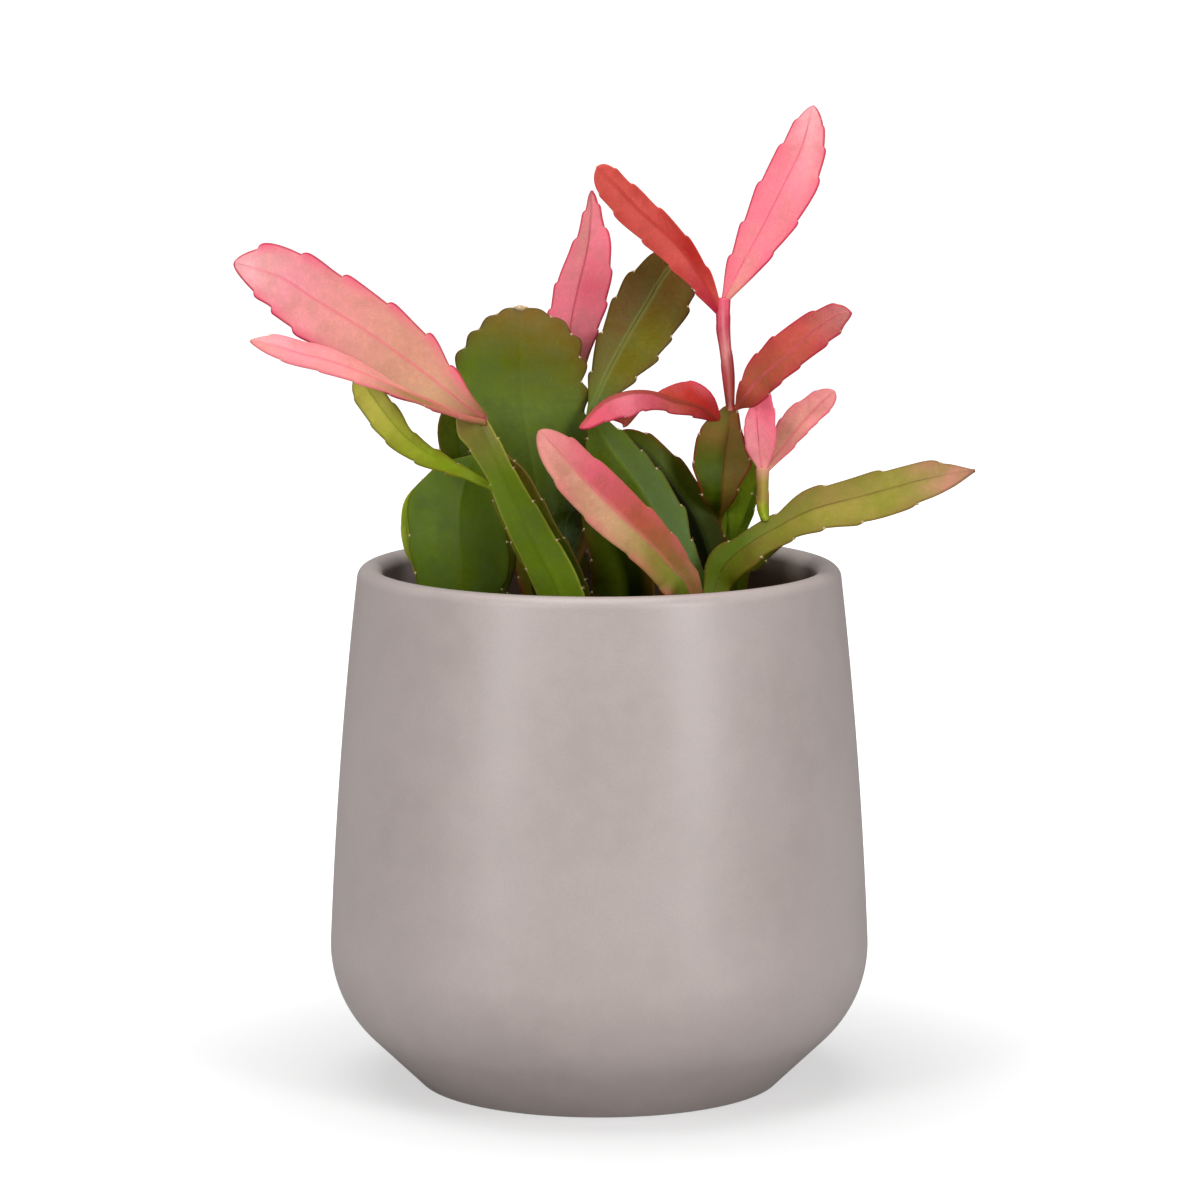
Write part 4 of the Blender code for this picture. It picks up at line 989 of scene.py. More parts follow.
grow("arm_coral", "stem_pink", joint=(0.88, -0.6), seat=0.0, sink=2, roll=(-25, -20), fold=-8,
     blunt=0.1, tooth=0.6,
     rib=((26.5, 0, 217, 3.5, 3.4), (20.5, -4, 225.5, 5.3, 4.1), (10.5, -10, 235, 5.3, 4.5),
          (4, -14, 242, 4.6, 3.6), (-0.5, -17, 247, 4, 3.4)),
     notches=((0.16, 0.36, 0.58, 0.78, 0.9), (0.22, 0.4, 0.6, 0.8, 0.92)))
grow("arm_rose_tall", "stem_pink", joint=(0.99, 0.4), seat=0.0, sink=1.5, roll=25, fold=8,
     blunt=0.08,
     rib=((38, 7, 219, 3.7, 4.6), (43.5, 11, 228.5, 5.6, 7.6), (49, 15, 239, 6.3, 9),
          (54.5, 19, 250, 5.4, 6.6), (57.5, 22, 261, 2.3, 2.5)),
     notches=((0.2, 0.37, 0.58, 0.79, 0.93), (0.28, 0.46, 0.69, 0.82, 0.91)))
grow("arm_rust", "stem_winged", joint=(1.0, 6.0), seat=0.8, roll=20, fold=6, blunt=0.12,
     tooth=0.6,
     rib=((39.2, -1.5, 185.5, 2.6, 3.6), (43, -4, 190.5, 5, 4.9), (49, -8, 196, 6.2, 4.6),
          (56, -12, 203, 4.8, 5), (62, -16, 207.5, 3.6, 4.3), (66, -19, 209, 2.6, 2.6)),
     notches=((0.2, 0.36, 0.52, 0.8, 0.92), (0.26, 0.4, 0.54, 0.78, 0.9)))
grow("arm_coral_twisted", "stem_winged", joint=(0.88, -0.55), seat=0.0, sink=2,
     roll=(0, -4, -14, -50, -78, -81, -81, -81, -70),
     fold=(0, -4, -14, -45, -66, -69, -69, -66, -50), blunt=0.05, tooth=0.5,
     rib=((26.5, -2, 182.5, 3, 5.2), (20, -6, 184.5, 3.2, 8), (13, -10, 187, 4.5, 12.5),
          (6.5, -14, 187, 6, 9), (0.5, -17, 184.5, 5, 5), (-5, -20, 178.5, 1.5, 1.5)),
     notches=((0.2, 0.38, 0.55, 0.72, 0.88), (0.26, 0.45, 0.62, 0.8, 0.92)))
tell("the stem on the right and what it carries")

# %% [markdown]
# ## The small shoot on the long strap
# A green stalk on the right-hand strap ends in two leaf-shaped young segments. They spread apart
# from one joint, so each gets a place of its own across the stalk's end.

# %% The small shoot on the long strap
grow("stalk_green", "strap_right", joint=(0.47, -1.0), seat=0.0, sink=0.3, sink_width=1.0,
     thickness=2.4, tooth=0.2, blunt=0.02,
     rib=((43.5, -4, 156, 1.5, 1.6), (43.5, -3.5, 161, 1.6, 1.6), (43.5, -3, 166.2, 1.8, 1.8)),
     notches=((0.5,), (0.6,)))
grow("leaflet_rose", "stalk_green", joint=(0.96, 0.0), seat=0.0, sink=2, roll=15, fold=7,
     blunt=0.12, tooth=0.4,
     rib=((42.6, -2, 173.5, 3.9, 4.8), (42.2, 0, 178.5, 3.5, 5), (42.2, 4, 183, 1.6, 4),
          (42.3, 9, 188.6, 1.6, 2.6)),
     notches=((0.26, 0.46, 0.68, 0.86), (0.2, 0.4, 0.6, 0.8)))
grow("leaflet_coral", "stalk_green", joint=(0.98, 0.4), seat=0.0, sink=2, roll=20, fold=5,
     blunt=0.15, tooth=0.5,
     rib=((49.5, 2, 171.5, 4.3, 2), (54, 4, 177, 5.4, 2.8), (58.5, 6, 181.5, 4.1, 3),
          (63, 8, 185.5, 3, 2.6)),
     notches=((0.25, 0.5, 0.7, 0.88), (0.38, 0.54, 0.68, 0.84)))
tell("the small shoot on the long strap")

# %% [markdown]
# ## From the rule to a living surface
# A blade is closed like a lens: about a millimetre and a half thick at the rib and half that at the
# margin, which is rounded. Rows of points are placed close together at each notch and at the tip,
# and columns close together at the rib and at the margin, because that is where the form turns. An
# even grid would need many more points for the same teeth.

# %% Rows and columns of a blade
TOOTH_STEPS = (0.0, 0.12, 0.24, 0.36, 0.48, 0.6, 0.7, 0.78, 0.84, 0.89, 0.925, 0.95, 0.97, 0.985)
TIP_STEPS = (0.0, 0.15, 0.3, 0.44, 0.56, 0.67, 0.76, 0.83, 0.89, 0.935, 0.965, 0.985, 0.996, 1.0)
HALF_COLUMNS = 14


def row_stations(segment):
    """Fractions along the left and the right margin, for each row from neck to tip."""
    sides = []
    for side in (-1, 1):
        ends = [segment.neck_end, *segment.notches[side], 1.0]
        line = [0.0, 0.5 * segment.neck_end] if segment.root else []
        for start, end in zip(ends[:-2], ends[1:-1]):
            line += [start + (end - start) * s for s in TOOTH_STEPS]
        line += [ends[-2] + (1.0 - ends[-2]) * s for s in TIP_STEPS]
        sides.append(line)
    return np.array(sides[0]), np.array(sides[1])


even = np.arange(HALF_COLUMNS + 1) / HALF_COLUMNS
half = even ** 2 * (3 - 2 * even)
columns = np.concatenate((-half[:0:-1], half))
print(len(columns), "columns across each face of a blade")

# %% [markdown]
# ## The middle surface
# The rule turns each row and column into a point, so the middle of a blade is one grid. A segment
# that grows from another also needs a heel, because on the plant the two join without a gap. Its
# rows shrink and bend from the neck down to the nearest point inside the parent.

# %% The middle surface of a blade
HEEL_ROWS = 8


def middle_surface(segment):
    """The grid of (along, across) numbers of a blade, and its points in mm."""
    left, right = row_stations(segment)
    middle = ((left + right) / 2)[:, None]
    margin = np.where(columns < 0, left[:, None], right[:, None])
    along = middle + (margin - middle) * np.abs(columns)
    across = np.broadcast_to(columns, along.shape)
    return along, across, segment.points(along, across)


def with_heel(segment, along, across, points):
    """Adds tapering rows below a grown segment's neck, so that it sinks into its parent."""
    centre = segment.curve[0]
    back = unit(segment.curve[0] - segment.curve[3])
    surface = segment.parent.surface.reshape(-1, 3)
    heel = surface[np.argmin(np.linalg.norm(surface - centre - segment.sink * back, axis=1))]
    depth = np.linalg.norm(centre - heel)
    bend = centre + 0.5 * depth * back
    steps = np.arange(HEEL_ROWS) / HEEL_ROWS
    shrink = segment.sink_width + (1.0 - segment.sink_width) * steps
    offsets = points[0] - centre
    rows = [
        (1 - s) ** 2 * heel + 2 * s * (1 - s) * bend + s ** 2 * centre + offsets * size
        for s, size in zip(steps, shrink)
    ]
    below = (steps - 1.0) * depth / segment.length
    along = np.vstack((np.repeat(below[:, None], along.shape[1], axis=1), along))
    across = np.vstack((np.repeat(across[:1], HEEL_ROWS, axis=0), across))
    taper = np.concatenate((shrink, np.ones(len(points))))[:, None]
    return along, across, np.concatenate((np.array(rows), points)), taper


def surface_normals(points):
    """The way each point of a grid faces."""
    down = np.gradient(points, axis=0)
    over = np.gradient(points, axis=1)
    return unit(np.cross(over, down))


print("a heel has", HEEL_ROWS, "rows")

# %% [markdown]
# ## Thickness and waves
# A real blade is a thin cushion with a raised rib, round where it is a stalk and at its neck, and
# its margins rise and fall a little. A Solidify modifier would make it equally thick everywhere, so
# the thickness is worked out for each point from its place on the blade. Lengths are in mm.

# %% Thickness across a blade
MARGIN_THICKNESS = 0.62
NECK_THICKNESS = 1.35
NECK_FADE = 4.0
STALK_FROM = 2.0
STALK_ROUNDING = 2.2
RIB_RIDGE, RIB_RIDGE_WIDTH, RIB_SWELL = 0.12, 0.6, 0.1
ROUNDED_FROM, ROUNDED_WIDTH = 0.86, 0.14
TIP_THINNING = 0.35
WAVE, LONG_WAVE, SHORT_WAVE, SHORT_SHARE = 0.18, 5.5, 3.1, 0.6


def half_thickness(segment, along, across, rib_distance):
    """Half the thickness: full at the rib, thin and rounded at the margin, round at the neck."""
    reach = np.abs(across)
    past = np.maximum(0.0, (reach - ROUNDED_FROM) / ROUNDED_WIDTH)
    rounding = np.sqrt(np.maximum(0.0, 1 - past ** 2))
    swell = segment.thickness + RIB_SWELL - MARGIN_THICKNESS
    blade = (MARGIN_THICKNESS + swell * (1 - reach ** 1.5)) / 2 * rounding
    blade = blade + RIB_RIDGE * np.exp(-(rib_distance / RIB_RIDGE_WIDTH) ** 2) * rounding
    circle = np.sqrt(np.maximum(0.0, 1 - reach ** STALK_ROUNDING))
    shape = segment.thickness / 2 * circle if segment.thickness > STALK_FROM else blade
    neck = NECK_THICKNESS / 2 * circle
    travelled = np.maximum(0.0, along - segment.neck_end) * segment.length
    near_neck = np.exp(-(travelled / NECK_FADE) ** 2)
    thick = shape + (np.maximum(neck, shape) - shape) * near_neck
    return thick * (1 - TIP_THINNING * segment.into_tip(along) ** 4)


def wave(segment, along, across):
    """The slight rise and fall of a living blade, most at its margins; each has its own phase."""
    phase = sum(ord(letter) for letter in segment.name)
    travelled = along * segment.length
    swing = np.sin(travelled / LONG_WAVE + phase)
    swing = swing + SHORT_SHARE * np.sin(travelled / SHORT_WAVE - phase)
    return WAVE * swing * np.abs(across) ** 1.5 * np.sign(across + 0.3 * math.sin(phase))


print("waves of", WAVE, "mm at the margins")

# %% [markdown]
# ## Areoles
# Each notch holds an areole: a speck of pale felt with three short bristles. Older segments carry
# larger ones. A painted dot would be lost from the side, so they are real geometry and break
# the margin's outline. The shares below are of an areole's own size.

# %% Make one areole
AREOLE_SEED = 5
BRISTLES = 3
FELT_SHAPE = (1.0, 0.9, 0.55)
BRISTLE_TIP = 26.0
BRISTLE_LENGTH = 1.3
BRISTLE_FOOT, BRISTLE_POINT = 0.13, 0.02
BRISTLE_SIDES = 5
chance = np.random.default_rng(AREOLE_SEED)


def add_areole(shell, spot, outwards, size, bristles=BRISTLES):
    """A flattened ball of felt with a few bristles, in a bmesh; the felt's faces use slot 1."""
    known = len(shell.faces)
    aim = Vector(outwards).to_track_quat("Z", "Y").to_matrix().to_4x4()
    place = Matrix.Translation(Vector(spot) * MM) @ aim
    squash = Matrix.Diagonal((*(share * size * MM for share in FELT_SHAPE), 1.0))
    bmesh.ops.create_icosphere(shell, subdivisions=2, radius=1.0, matrix=place @ squash)
    for number in range(bristles):
        tip = np.radians(chance.normal(0.0, BRISTLE_TIP, 2))
        lean = Matrix.Rotation(tip[0], 4, "X") @ Matrix.Rotation(tip[1], 4, "Y")
        long = size * (BRISTLE_LENGTH + chance.random())
        rise = Matrix.Translation(Vector((0.0, 0.0, long / 2 * MM)))
        bmesh.ops.create_cone(
            shell, cap_ends=True, segments=BRISTLE_SIDES, radius1=BRISTLE_FOOT * size * MM,
            radius2=BRISTLE_POINT * size * MM, depth=long * MM, matrix=place @ lean @ rise,
        )
    shell.faces.ensure_lookup_table()
    for face in shell.faces[known:]:
        face.material_index = 1
        face.smooth = True


print("an areole has", BRISTLES, "bristles")

# %% [markdown]
# ## The two faces of a blade
# The two faces are the middle surface moved out and in by half the thickness. They share their
# margin columns, where the thickness is nothing, and strips close the two ends, so every blade is
# one watertight shell. Each point also carries a few marks for the finish, such as its distance
# from the rib.

# %% Join the two faces
MARKS = ("along", "across", "rib_distance", "margin_distance", "tooth")


def add_grid(shell, points, marks, other=None):
    """One face of a blade as a grid of marked points; its margins may be those of the other."""
    layers = [shell.verts.layers.float[mark] for mark in MARKS]
    rows, wide = points.shape[:2]
    grid = []
    for i in range(rows):
        row = []
        for j in range(wide):
            if other and j in (0, wide - 1):
                row.append(other[i][j])
                continue
            vertex = shell.verts.new(Vector(points[i, j]) * MM)
            for layer, mark in zip(layers, marks):
                vertex[layer] = mark[i, j]
            row.append(vertex)
        grid.append(row)
    return grid


def close(shell, fore, rear):
    """Skins the two grids and closes both ends."""
    rows, wide = len(fore), len(fore[0])
    for i in range(rows - 1):
        for j in range(wide - 1):
            shell.faces.new((fore[i][j], fore[i][j + 1], fore[i + 1][j + 1], fore[i + 1][j]))
            shell.faces.new((rear[i][j], rear[i + 1][j], rear[i + 1][j + 1], rear[i][j + 1]))
    for i, turned_over in ((0, False), (rows - 1, True)):
        for j in range(wide - 1):
            corners = [fore[i][j], rear[i][j], rear[i][j + 1], fore[i][j + 1]]
            corners = list(dict.fromkeys(corners))
            shell.faces.new(corners[::-1] if turned_over else corners)
    for face in shell.faces:
        face.smooth = True


print("each point carries", len(MARKS), "marks")

# %% [markdown]
# ## One blade from neck to tip
# All the steps meet here: the grid, the heel, the thickness, the two faces and an areole in every
# notch above the mix. The round pad also has a bare scar at its tip, where a segment fell off.

# %% Close a blade
BARE_NECK = NECK_DEPTH + 6.0
NOTCH_EDGE, NOTCH_INSIDE = 0.99, 0.8
SCAR_BELOW, SCAR_AT = 0.97, 0.998


def add_areoles(shell, segment, size):
    """An areole in each notch above the mix, and the scar at the tip."""
    for side in (-1, 1):
        for notch in segment.notches[side]:
            if segment.root and notch * segment.length < BARE_NECK:
                continue
            across = np.array([side * NOTCH_EDGE, side * NOTCH_INSIDE])
            spot, inner = segment.points(np.array([notch, notch]), across)
            add_areole(shell, spot, spot - inner, size)
    if segment.scar:
        below, tip = segment.points(np.array([SCAR_BELOW, SCAR_AT]), np.array([0.0, 0.0]))
        add_areole(shell, tip, tip - below, segment.scar, bristles=0)


def closed_shell(segment, areole_size):
    """The finished mesh of a segment with its marks for the finish and its areoles."""
    along, across, points = middle_surface(segment)
    segment.surface = points
    taper = 1.0
    if segment.parent:
        along, across, points, taper = with_heel(segment, along, across, points)
    clipped = np.clip(along, 0.0, 1.0)
    width = segment.on_both_sides(across, segment.half_width, clipped)
    bulge = segment.on_both_sides(across, segment.tooth_bulge, clipped)
    marks = (clipped, across, width * across, width * (1 - np.abs(across)), bulge / segment.tooth)
    facing = surface_normals(points)
    points = points + facing * wave(segment, along, across)[..., None]
    thick = (taper * half_thickness(segment, clipped, across, width * across))[..., None]

    shell = bmesh.new()
    for mark in MARKS:
        shell.verts.layers.float.new(mark)
    fore = add_grid(shell, points + facing * thick, marks)
    close(shell, fore, add_grid(shell, points - facing * thick, marks, fore))
    add_areoles(shell, segment, areole_size)
    mesh = bpy.data.meshes.new(segment.name + "_skin")
    shell.to_mesh(mesh)
    shell.free()
    return mesh


print("necks stay bare up to", BARE_NECK, "mm")

# %% [markdown]
# ## The skin of a segment
# A young segment is pink where the light is strong and green or tan near its base; an old one is
# green with a brown or red margin. The broad change of colour is a few paints along each half,
# written on the points of the mesh. What is finer comes from one shader group that all finishes
# share, with their own colours and strengths as its inputs. It reads the marks and three noises.

# %% Open the skin's group
SKIN_CLOUDS, SKIN_PATCHES, SKIN_CELLS = 170.0, 620.0, 3200.0

segment_skin, bench, given, result = new_group(
    "segment_skin",
    [
        ("Stem", "Color", (0.5, 0.5, 0.5, 1.0)), ("Rib", "Color", (0.5, 0.2, 0.2, 1.0)),
        ("Margin", "Color", (0.3, 0.1, 0.1, 1.0)), ("Blush", "Color", (0.5, 0.1, 0.1, 1.0)),
        ("Cloud", "Color", (0.4, 0.5, 0.4, 1.0)), ("Rib strength", "Float", 0.5),
        ("Rib gap", "Float", 0.0), ("Margin strength", "Float", 0.7),
        ("Blush strength", "Float", 0.5), ("Cloud strength", "Float", 0.0),
        ("Mottle", "Float", 0.5),
    ],
    [("Color", "Color"), ("Roughness", "Float"), ("Height", "Float")],
)
along, rib_mm, margin_mm, tooth = [
    bench.attribute(mark).outputs["Fac"] for mark in MARKS if mark != "across"]
place = bench.on_object()
clouds = bench.cloud(place, SKIN_CLOUDS, detail=3.0, roughness=0.55)
patches = bench.cloud(place, SKIN_PATCHES, detail=3.0, roughness=0.6)
cells = bench.cloud(place, SKIN_CELLS, detail=2.0, roughness=0.5)
print("the skin takes", len(given) - 1, "inputs")

# %% [markdown]
# ## Mottling
# A living skin is never one flat tone. It could be painted on an image, but noises fit any blade:
# two of them darken and lighten it in soft clouds, and a third, as fine as cells, grains it.

# %% Mottle the skin
DARKER, PALER = (0.66, 0.6, 0.54, 1.0), (1.22, 1.2, 1.16, 1.0)

colour = given["Stem"]
darker = bench.mix(1.0, colour, DARKER, "MULTIPLY")
paler = bench.mix(1.0, colour, PALER, "MULTIPLY")
for mask, tone in (
    (bench.ramp(clouds, 0.42, 0.72), darker),
    (bench.ramp(patches, 0.45, 0.7), paler),
    (bench.ramp(cells, 0.4, 0.7, 0.0, 0.6), darker),
    (bench.ramp(cells, 0.3, 0.42, 0.7, 0.0), paler),
):
    colour = bench.mix(bench.times(mask, given["Mottle"]), colour, tone)
print("mottled by three noises")

# %% [markdown]
# ## Side veins
# Faint veins leave the rib at a slant and fade in and out. Each is a narrow line where a sine wave
# of the place along the blade, less a share of the distance from the rib, passes through nothing.

# %% Draw the side veins
VEINS_ALONG, VEIN_SLANT, VEIN_WANDER, VEIN_CLOSENESS = 22.0, 0.28, 2.2, 1.9
VEIN_WIDTH, VEIN_STRENGTH = 0.16, 0.16

rib_away = bench.size(rib_mm)
slant = bench.minus(bench.times(along, VEINS_ALONG), bench.times(rib_away, VEIN_SLANT))
slant = bench.plus(slant, bench.times(clouds, VEIN_WANDER))
vein = bench.size(bench.maths("SINE", bench.times(slant, VEIN_CLOSENESS)))
vein = bench.ramp(vein, 0.0, VEIN_WIDTH, 1.0, 0.0)
vein = bench.times(vein, bench.ramp(rib_away, 0.6, 2.0))
vein = bench.times(vein, bench.ramp(patches, 0.35, 0.6))
colour = bench.mix(bench.times(vein, VEIN_STRENGTH), colour, given["Rib"])
print("veins drawn at a strength of", VEIN_STRENGTH)

# %% [markdown]
# ## Wax, blush, rib and margin
# A second colour clouds the skin like wax, each tooth blushes towards its edge, the rib is a tinted
# line, or two with a gap between them, and the margin is edged with a darker one. Drawn lines would
# have to be fitted to each blade, while these masks follow the marks in mm on any shape.

# %% Tint the rib, the teeth and the margin
BLUSH_REACH, BLUSH_BETWEEN_TEETH = 4.0, 0.25
RIB_WOBBLE = 0.5

waxy = bench.times(bench.ramp(clouds, 0.3, 0.7), given["Cloud strength"])
colour = bench.mix(waxy, colour, given["Cloud"])
near_margin = bench.ramp(margin_mm, 0.0, BLUSH_REACH, 1.0, 0.0)
past_neck = bench.ramp(along, 0.03, 0.2, 0.25, 1.0)
blush = bench.times(bench.plus(BLUSH_BETWEEN_TEETH, tooth), near_margin)
blush = bench.times(bench.times(blush, past_neck), given["Blush strength"])
colour = bench.mix(blush, colour, given["Blush"])
wobble = bench.plus(rib_mm, bench.times(bench.minus(patches, 0.5), RIB_WOBBLE))
from_line = bench.size(bench.minus(bench.size(wobble), given["Rib gap"]))
rib_line = bench.ramp(from_line, 0.1, 0.75, 1.0, 0.0)
rib_line = bench.times(rib_line, bench.ramp(along, 0.8, 1.0, 1.0, 0.35))
colour = bench.mix(bench.times(rib_line, given["Rib strength"]), colour, given["Rib"])
margin_line = bench.ramp(margin_mm, 0.1, 0.8, 1.0, 0.0)
margin_line = bench.times(margin_line, bench.ramp(patches, 0.25, 0.5, 0.6, 1.0))
margin_line = bench.times(bench.times(margin_line, past_neck), given["Margin strength"])
bench.feed(result["Color"], bench.mix(margin_line, colour, given["Margin"]))
print("blush reaches", BLUSH_REACH, "mm in from the margin")

# %% [markdown]
# ## Gloss and relief
# The skin is satin, duller where it is waxy, and swells and sinks a little between its veins. Both
# follow the noises that colour it, so that the tones and the relief belong together.

# %% Set the gloss and the relief
gloss = bench.ramp(patches, 0.3, 0.7, 0.36, 0.5)
bench.feed(result["Roughness"], bench.plus(gloss, bench.times(waxy, 0.15)))
relief = bench.plus(bench.times(clouds, 1.2), bench.times(patches, 0.5))
relief = bench.plus(relief, bench.times(cells, 0.12))
bench.feed(result["Height"], bench.minus(relief, bench.times(vein, 0.12)))
print("skin group has", len(segment_skin.nodes), "nodes")

# %% [markdown]
# ## The paint chart
# The paints are pinks and corals for young segments, browns and greens for old ones. Each was set
# by laying renders beside the photograph and changing it until the two agreed, spot by spot, under
# the lights of this scene. A paint is therefore mostly the bare skin's colour, not what a camera
# shows, but the near-black one and the dark first paints of the older rows are painted shade.

# %% Lay out the paints
ALMOND = paint(208, 162, 122)
PEACH = paint(218, 152, 130)
SHELL_PINK = paint(248, 182, 186)
SOFT_PINK = paint(242, 150, 160)
SALMON = paint(236, 152, 146)
ROSE_PINK = paint(236, 122, 138)
HOT_PINK = paint(234, 98, 124)
CRIMSON = paint(184, 28, 62)
ROSE = paint(220, 92, 110)
DUSTY_ROSE = paint(206, 128, 126)
CORAL = paint(218, 90, 80)
SCARLET = paint(180, 42, 34)
RUST = paint(184, 82, 60)
BRICK = paint(138, 52, 34)
TAN_GREEN = paint(148, 122, 60)
DARK_BROWN = paint(80, 48, 8)
BRONZE = paint(136, 104, 46)
BROWN = paint(106, 74, 22)
OLIVE = paint(106, 98, 14)
YELLOW_OLIVE = paint(158, 142, 62)
PALE_LIME = paint(214, 212, 92)
LIME = paint(122, 144, 16)
LEAF = paint(92, 116, 14)
GRASS = paint(90, 112, 4)
PAD_GREEN = paint(108, 132, 20)
MOSS = paint(72, 86, 2)
DEEP = paint(50, 64, 0)
# painted shade: near black, for the bases deep in the pot
SHADE_BLACK = paint(16, 20, 0)
GLAUCOUS = paint(80, 106, 40)
SAGE = paint(124, 138, 72)
PALE_PAD = paint(140, 166, 68)
WAX = paint(122, 146, 96)
CREAM = paint(226, 206, 160)
STRAW = paint(198, 194, 76)
SPRING = paint(158, 168, 46)
print("a chart of pinks, corals, browns and greens")

# %% [markdown]
# ## The table of skins
# One row a segment: the paints of its left and right halves from base to tip, then its rib, its
# margin and its blush. The strengths say how much of each shows. A table keeps the whole plant in
# view, where a material built by hand for each blade would hide what differs.

# %% Start the table of skins
SKINS = {}
SAME = ()


def skin(name, slot, left, right, rib, margin, blush=None, rib_strength=0.5,
         margin_strength=0.7, blush_strength=0.4, cloud=WAX, cloud_strength=0.0, mottle=0.4,
         rib_gap=0.0, rib_blend=0.15):
    """Notes the paints and strengths of one segment; its right half may be the SAME as its left."""
    SKINS[name] = {
        "slot": slot, "halves": (left, right or left), "rib blend": rib_blend,
        "inputs": {
            "Rib": rib, "Margin": margin, "Blush": blush or margin, "Cloud": cloud,
            "Rib strength": rib_strength, "Rib gap": rib_gap,
            "Margin strength": margin_strength, "Blush strength": blush_strength,
            "Cloud strength": cloud_strength, "Mottle": mottle,
        },
    }


print("a row without strengths of its own has a rib at 0.5 and a margin at 0.7")

# %% [markdown]
# ## The young segments
# New growth is thin and red where the light reaches it: shell pink, rose and coral, from a base of
# tan or green. Most of these rows give each half its own paints, because one half turns to the
# light and the other away, so a half's paints are partly its own colour and partly painted shade.
# The yellow-green ones are as young but stand in the shade.

# %% Choose the young skins
# partly painted shade: each half's paints also hold the shade of the side turned from the light
skin("arm_pink_broad", "pink_segments", (BRONZE, ALMOND, PEACH, SALMON, SOFT_PINK, SHELL_PINK),
     (BRONZE, PEACH, PEACH, SALMON, SOFT_PINK, SHELL_PINK), HOT_PINK, CRIMSON, HOT_PINK,
     margin_strength=0.9, blush_strength=0.8, cloud=PEACH, cloud_strength=0.25, rib_blend=0.5)
skin("arm_pink_slim", "pink_segments",
     (TAN_GREEN, TAN_GREEN, TAN_GREEN, SALMON, SOFT_PINK, SALMON),
     (TAN_GREEN, RUST, PEACH, SALMON, SOFT_PINK, SHELL_PINK), HOT_PINK, ROSE, HOT_PINK,
     blush_strength=0.2, cloud=PEACH, cloud_strength=0.2, margin_strength=0.5)
skin("arm_rose_front", "pink_segments", (LEAF, LEAF, LEAF, YELLOW_OLIVE, ALMOND, PEACH, SALMON),
     (LEAF, TAN_GREEN, BRONZE, RUST, ROSE, SALMON), ROSE, BRONZE, ROSE, cloud=BRONZE,
     cloud_strength=0.15, margin_strength=0.3, rib_strength=0.4)
skin("blade_rose_upright", "rose_segments",
     (SALMON, ROSE_PINK, ROSE_PINK, DUSTY_ROSE, DUSTY_ROSE),
     (SALMON, ROSE_PINK, ROSE, ROSE_PINK, DUSTY_ROSE), CRIMSON, CRIMSON, HOT_PINK,
     margin_strength=0.9, cloud=DUSTY_ROSE, cloud_strength=0.3)
skin("arm_rose_tall", "rose_segments", (HOT_PINK, ROSE_PINK, ROSE_PINK, ROSE_PINK, SHELL_PINK),
     (PEACH, ROSE_PINK, ROSE_PINK, SOFT_PINK, SHELL_PINK), HOT_PINK, CRIMSON, HOT_PINK,
     margin_strength=0.9, blush_strength=0.6, cloud=SALMON, cloud_strength=0.3, rib_blend=0.3,
     mottle=0.6)
skin("leaflet_rose", "rose_segments", (SALMON, SOFT_PINK, ROSE_PINK, HOT_PINK),
     (SALMON, ROSE_PINK, HOT_PINK, HOT_PINK), HOT_PINK, HOT_PINK, rib_blend=0.6)
skin("stem_pink", "coral_segments", (RUST, CORAL, SALMON, ROSE, HOT_PINK), SAME, SHELL_PINK,
     CRIMSON, rib_strength=0.3)
skin("arm_coral", "coral_segments", (CRIMSON, CORAL, CORAL, CORAL),
     (CORAL, SCARLET, CORAL, CORAL), SCARLET, CORAL, SCARLET)
skin("arm_coral_twisted", "coral_segments", (SCARLET, SCARLET, RUST, ROSE, ROSE_PINK, ROSE, ROSE),
     (SCARLET, SCARLET, RUST, RUST, RUST), BRICK, CRIMSON, ROSE, rib_strength=0.7)
skin("arm_rust", "coral_segments", (RUST, RUST, CORAL, DUSTY_ROSE), SAME, ROSE, CRIMSON,
     cloud=TAN_GREEN, cloud_strength=0.2, mottle=0.45)
skin("leaflet_coral", "coral_segments", (PEACH, PEACH, SALMON, SALMON), SAME, ROSE, ROSE,
     HOT_PINK, cloud=BRONZE, cloud_strength=0.25)
skin("arm_yellow_green", "yellow_green_segments", (LIME, LIME, SPRING, PALE_LIME, STRAW),
     (LIME, LIME, SPRING, STRAW, YELLOW_OLIVE), LIME, OLIVE, mottle=0.3)
skin("sliver_left", "yellow_green_segments", (LIME, LIME, LIME), SAME, LEAF, STRAW, mottle=0.3)
skin("stalk_green", "yellow_green_segments", (LIME, LIME, TAN_GREEN, TAN_GREEN, PEACH),
     (LIME, LIME, YELLOW_OLIVE, YELLOW_OLIVE, PEACH), PALE_LIME, RUST, rib_strength=0.2,
     margin_strength=0.2, blush_strength=0.1, mottle=0.3)
print(len(SKINS), "young skins")
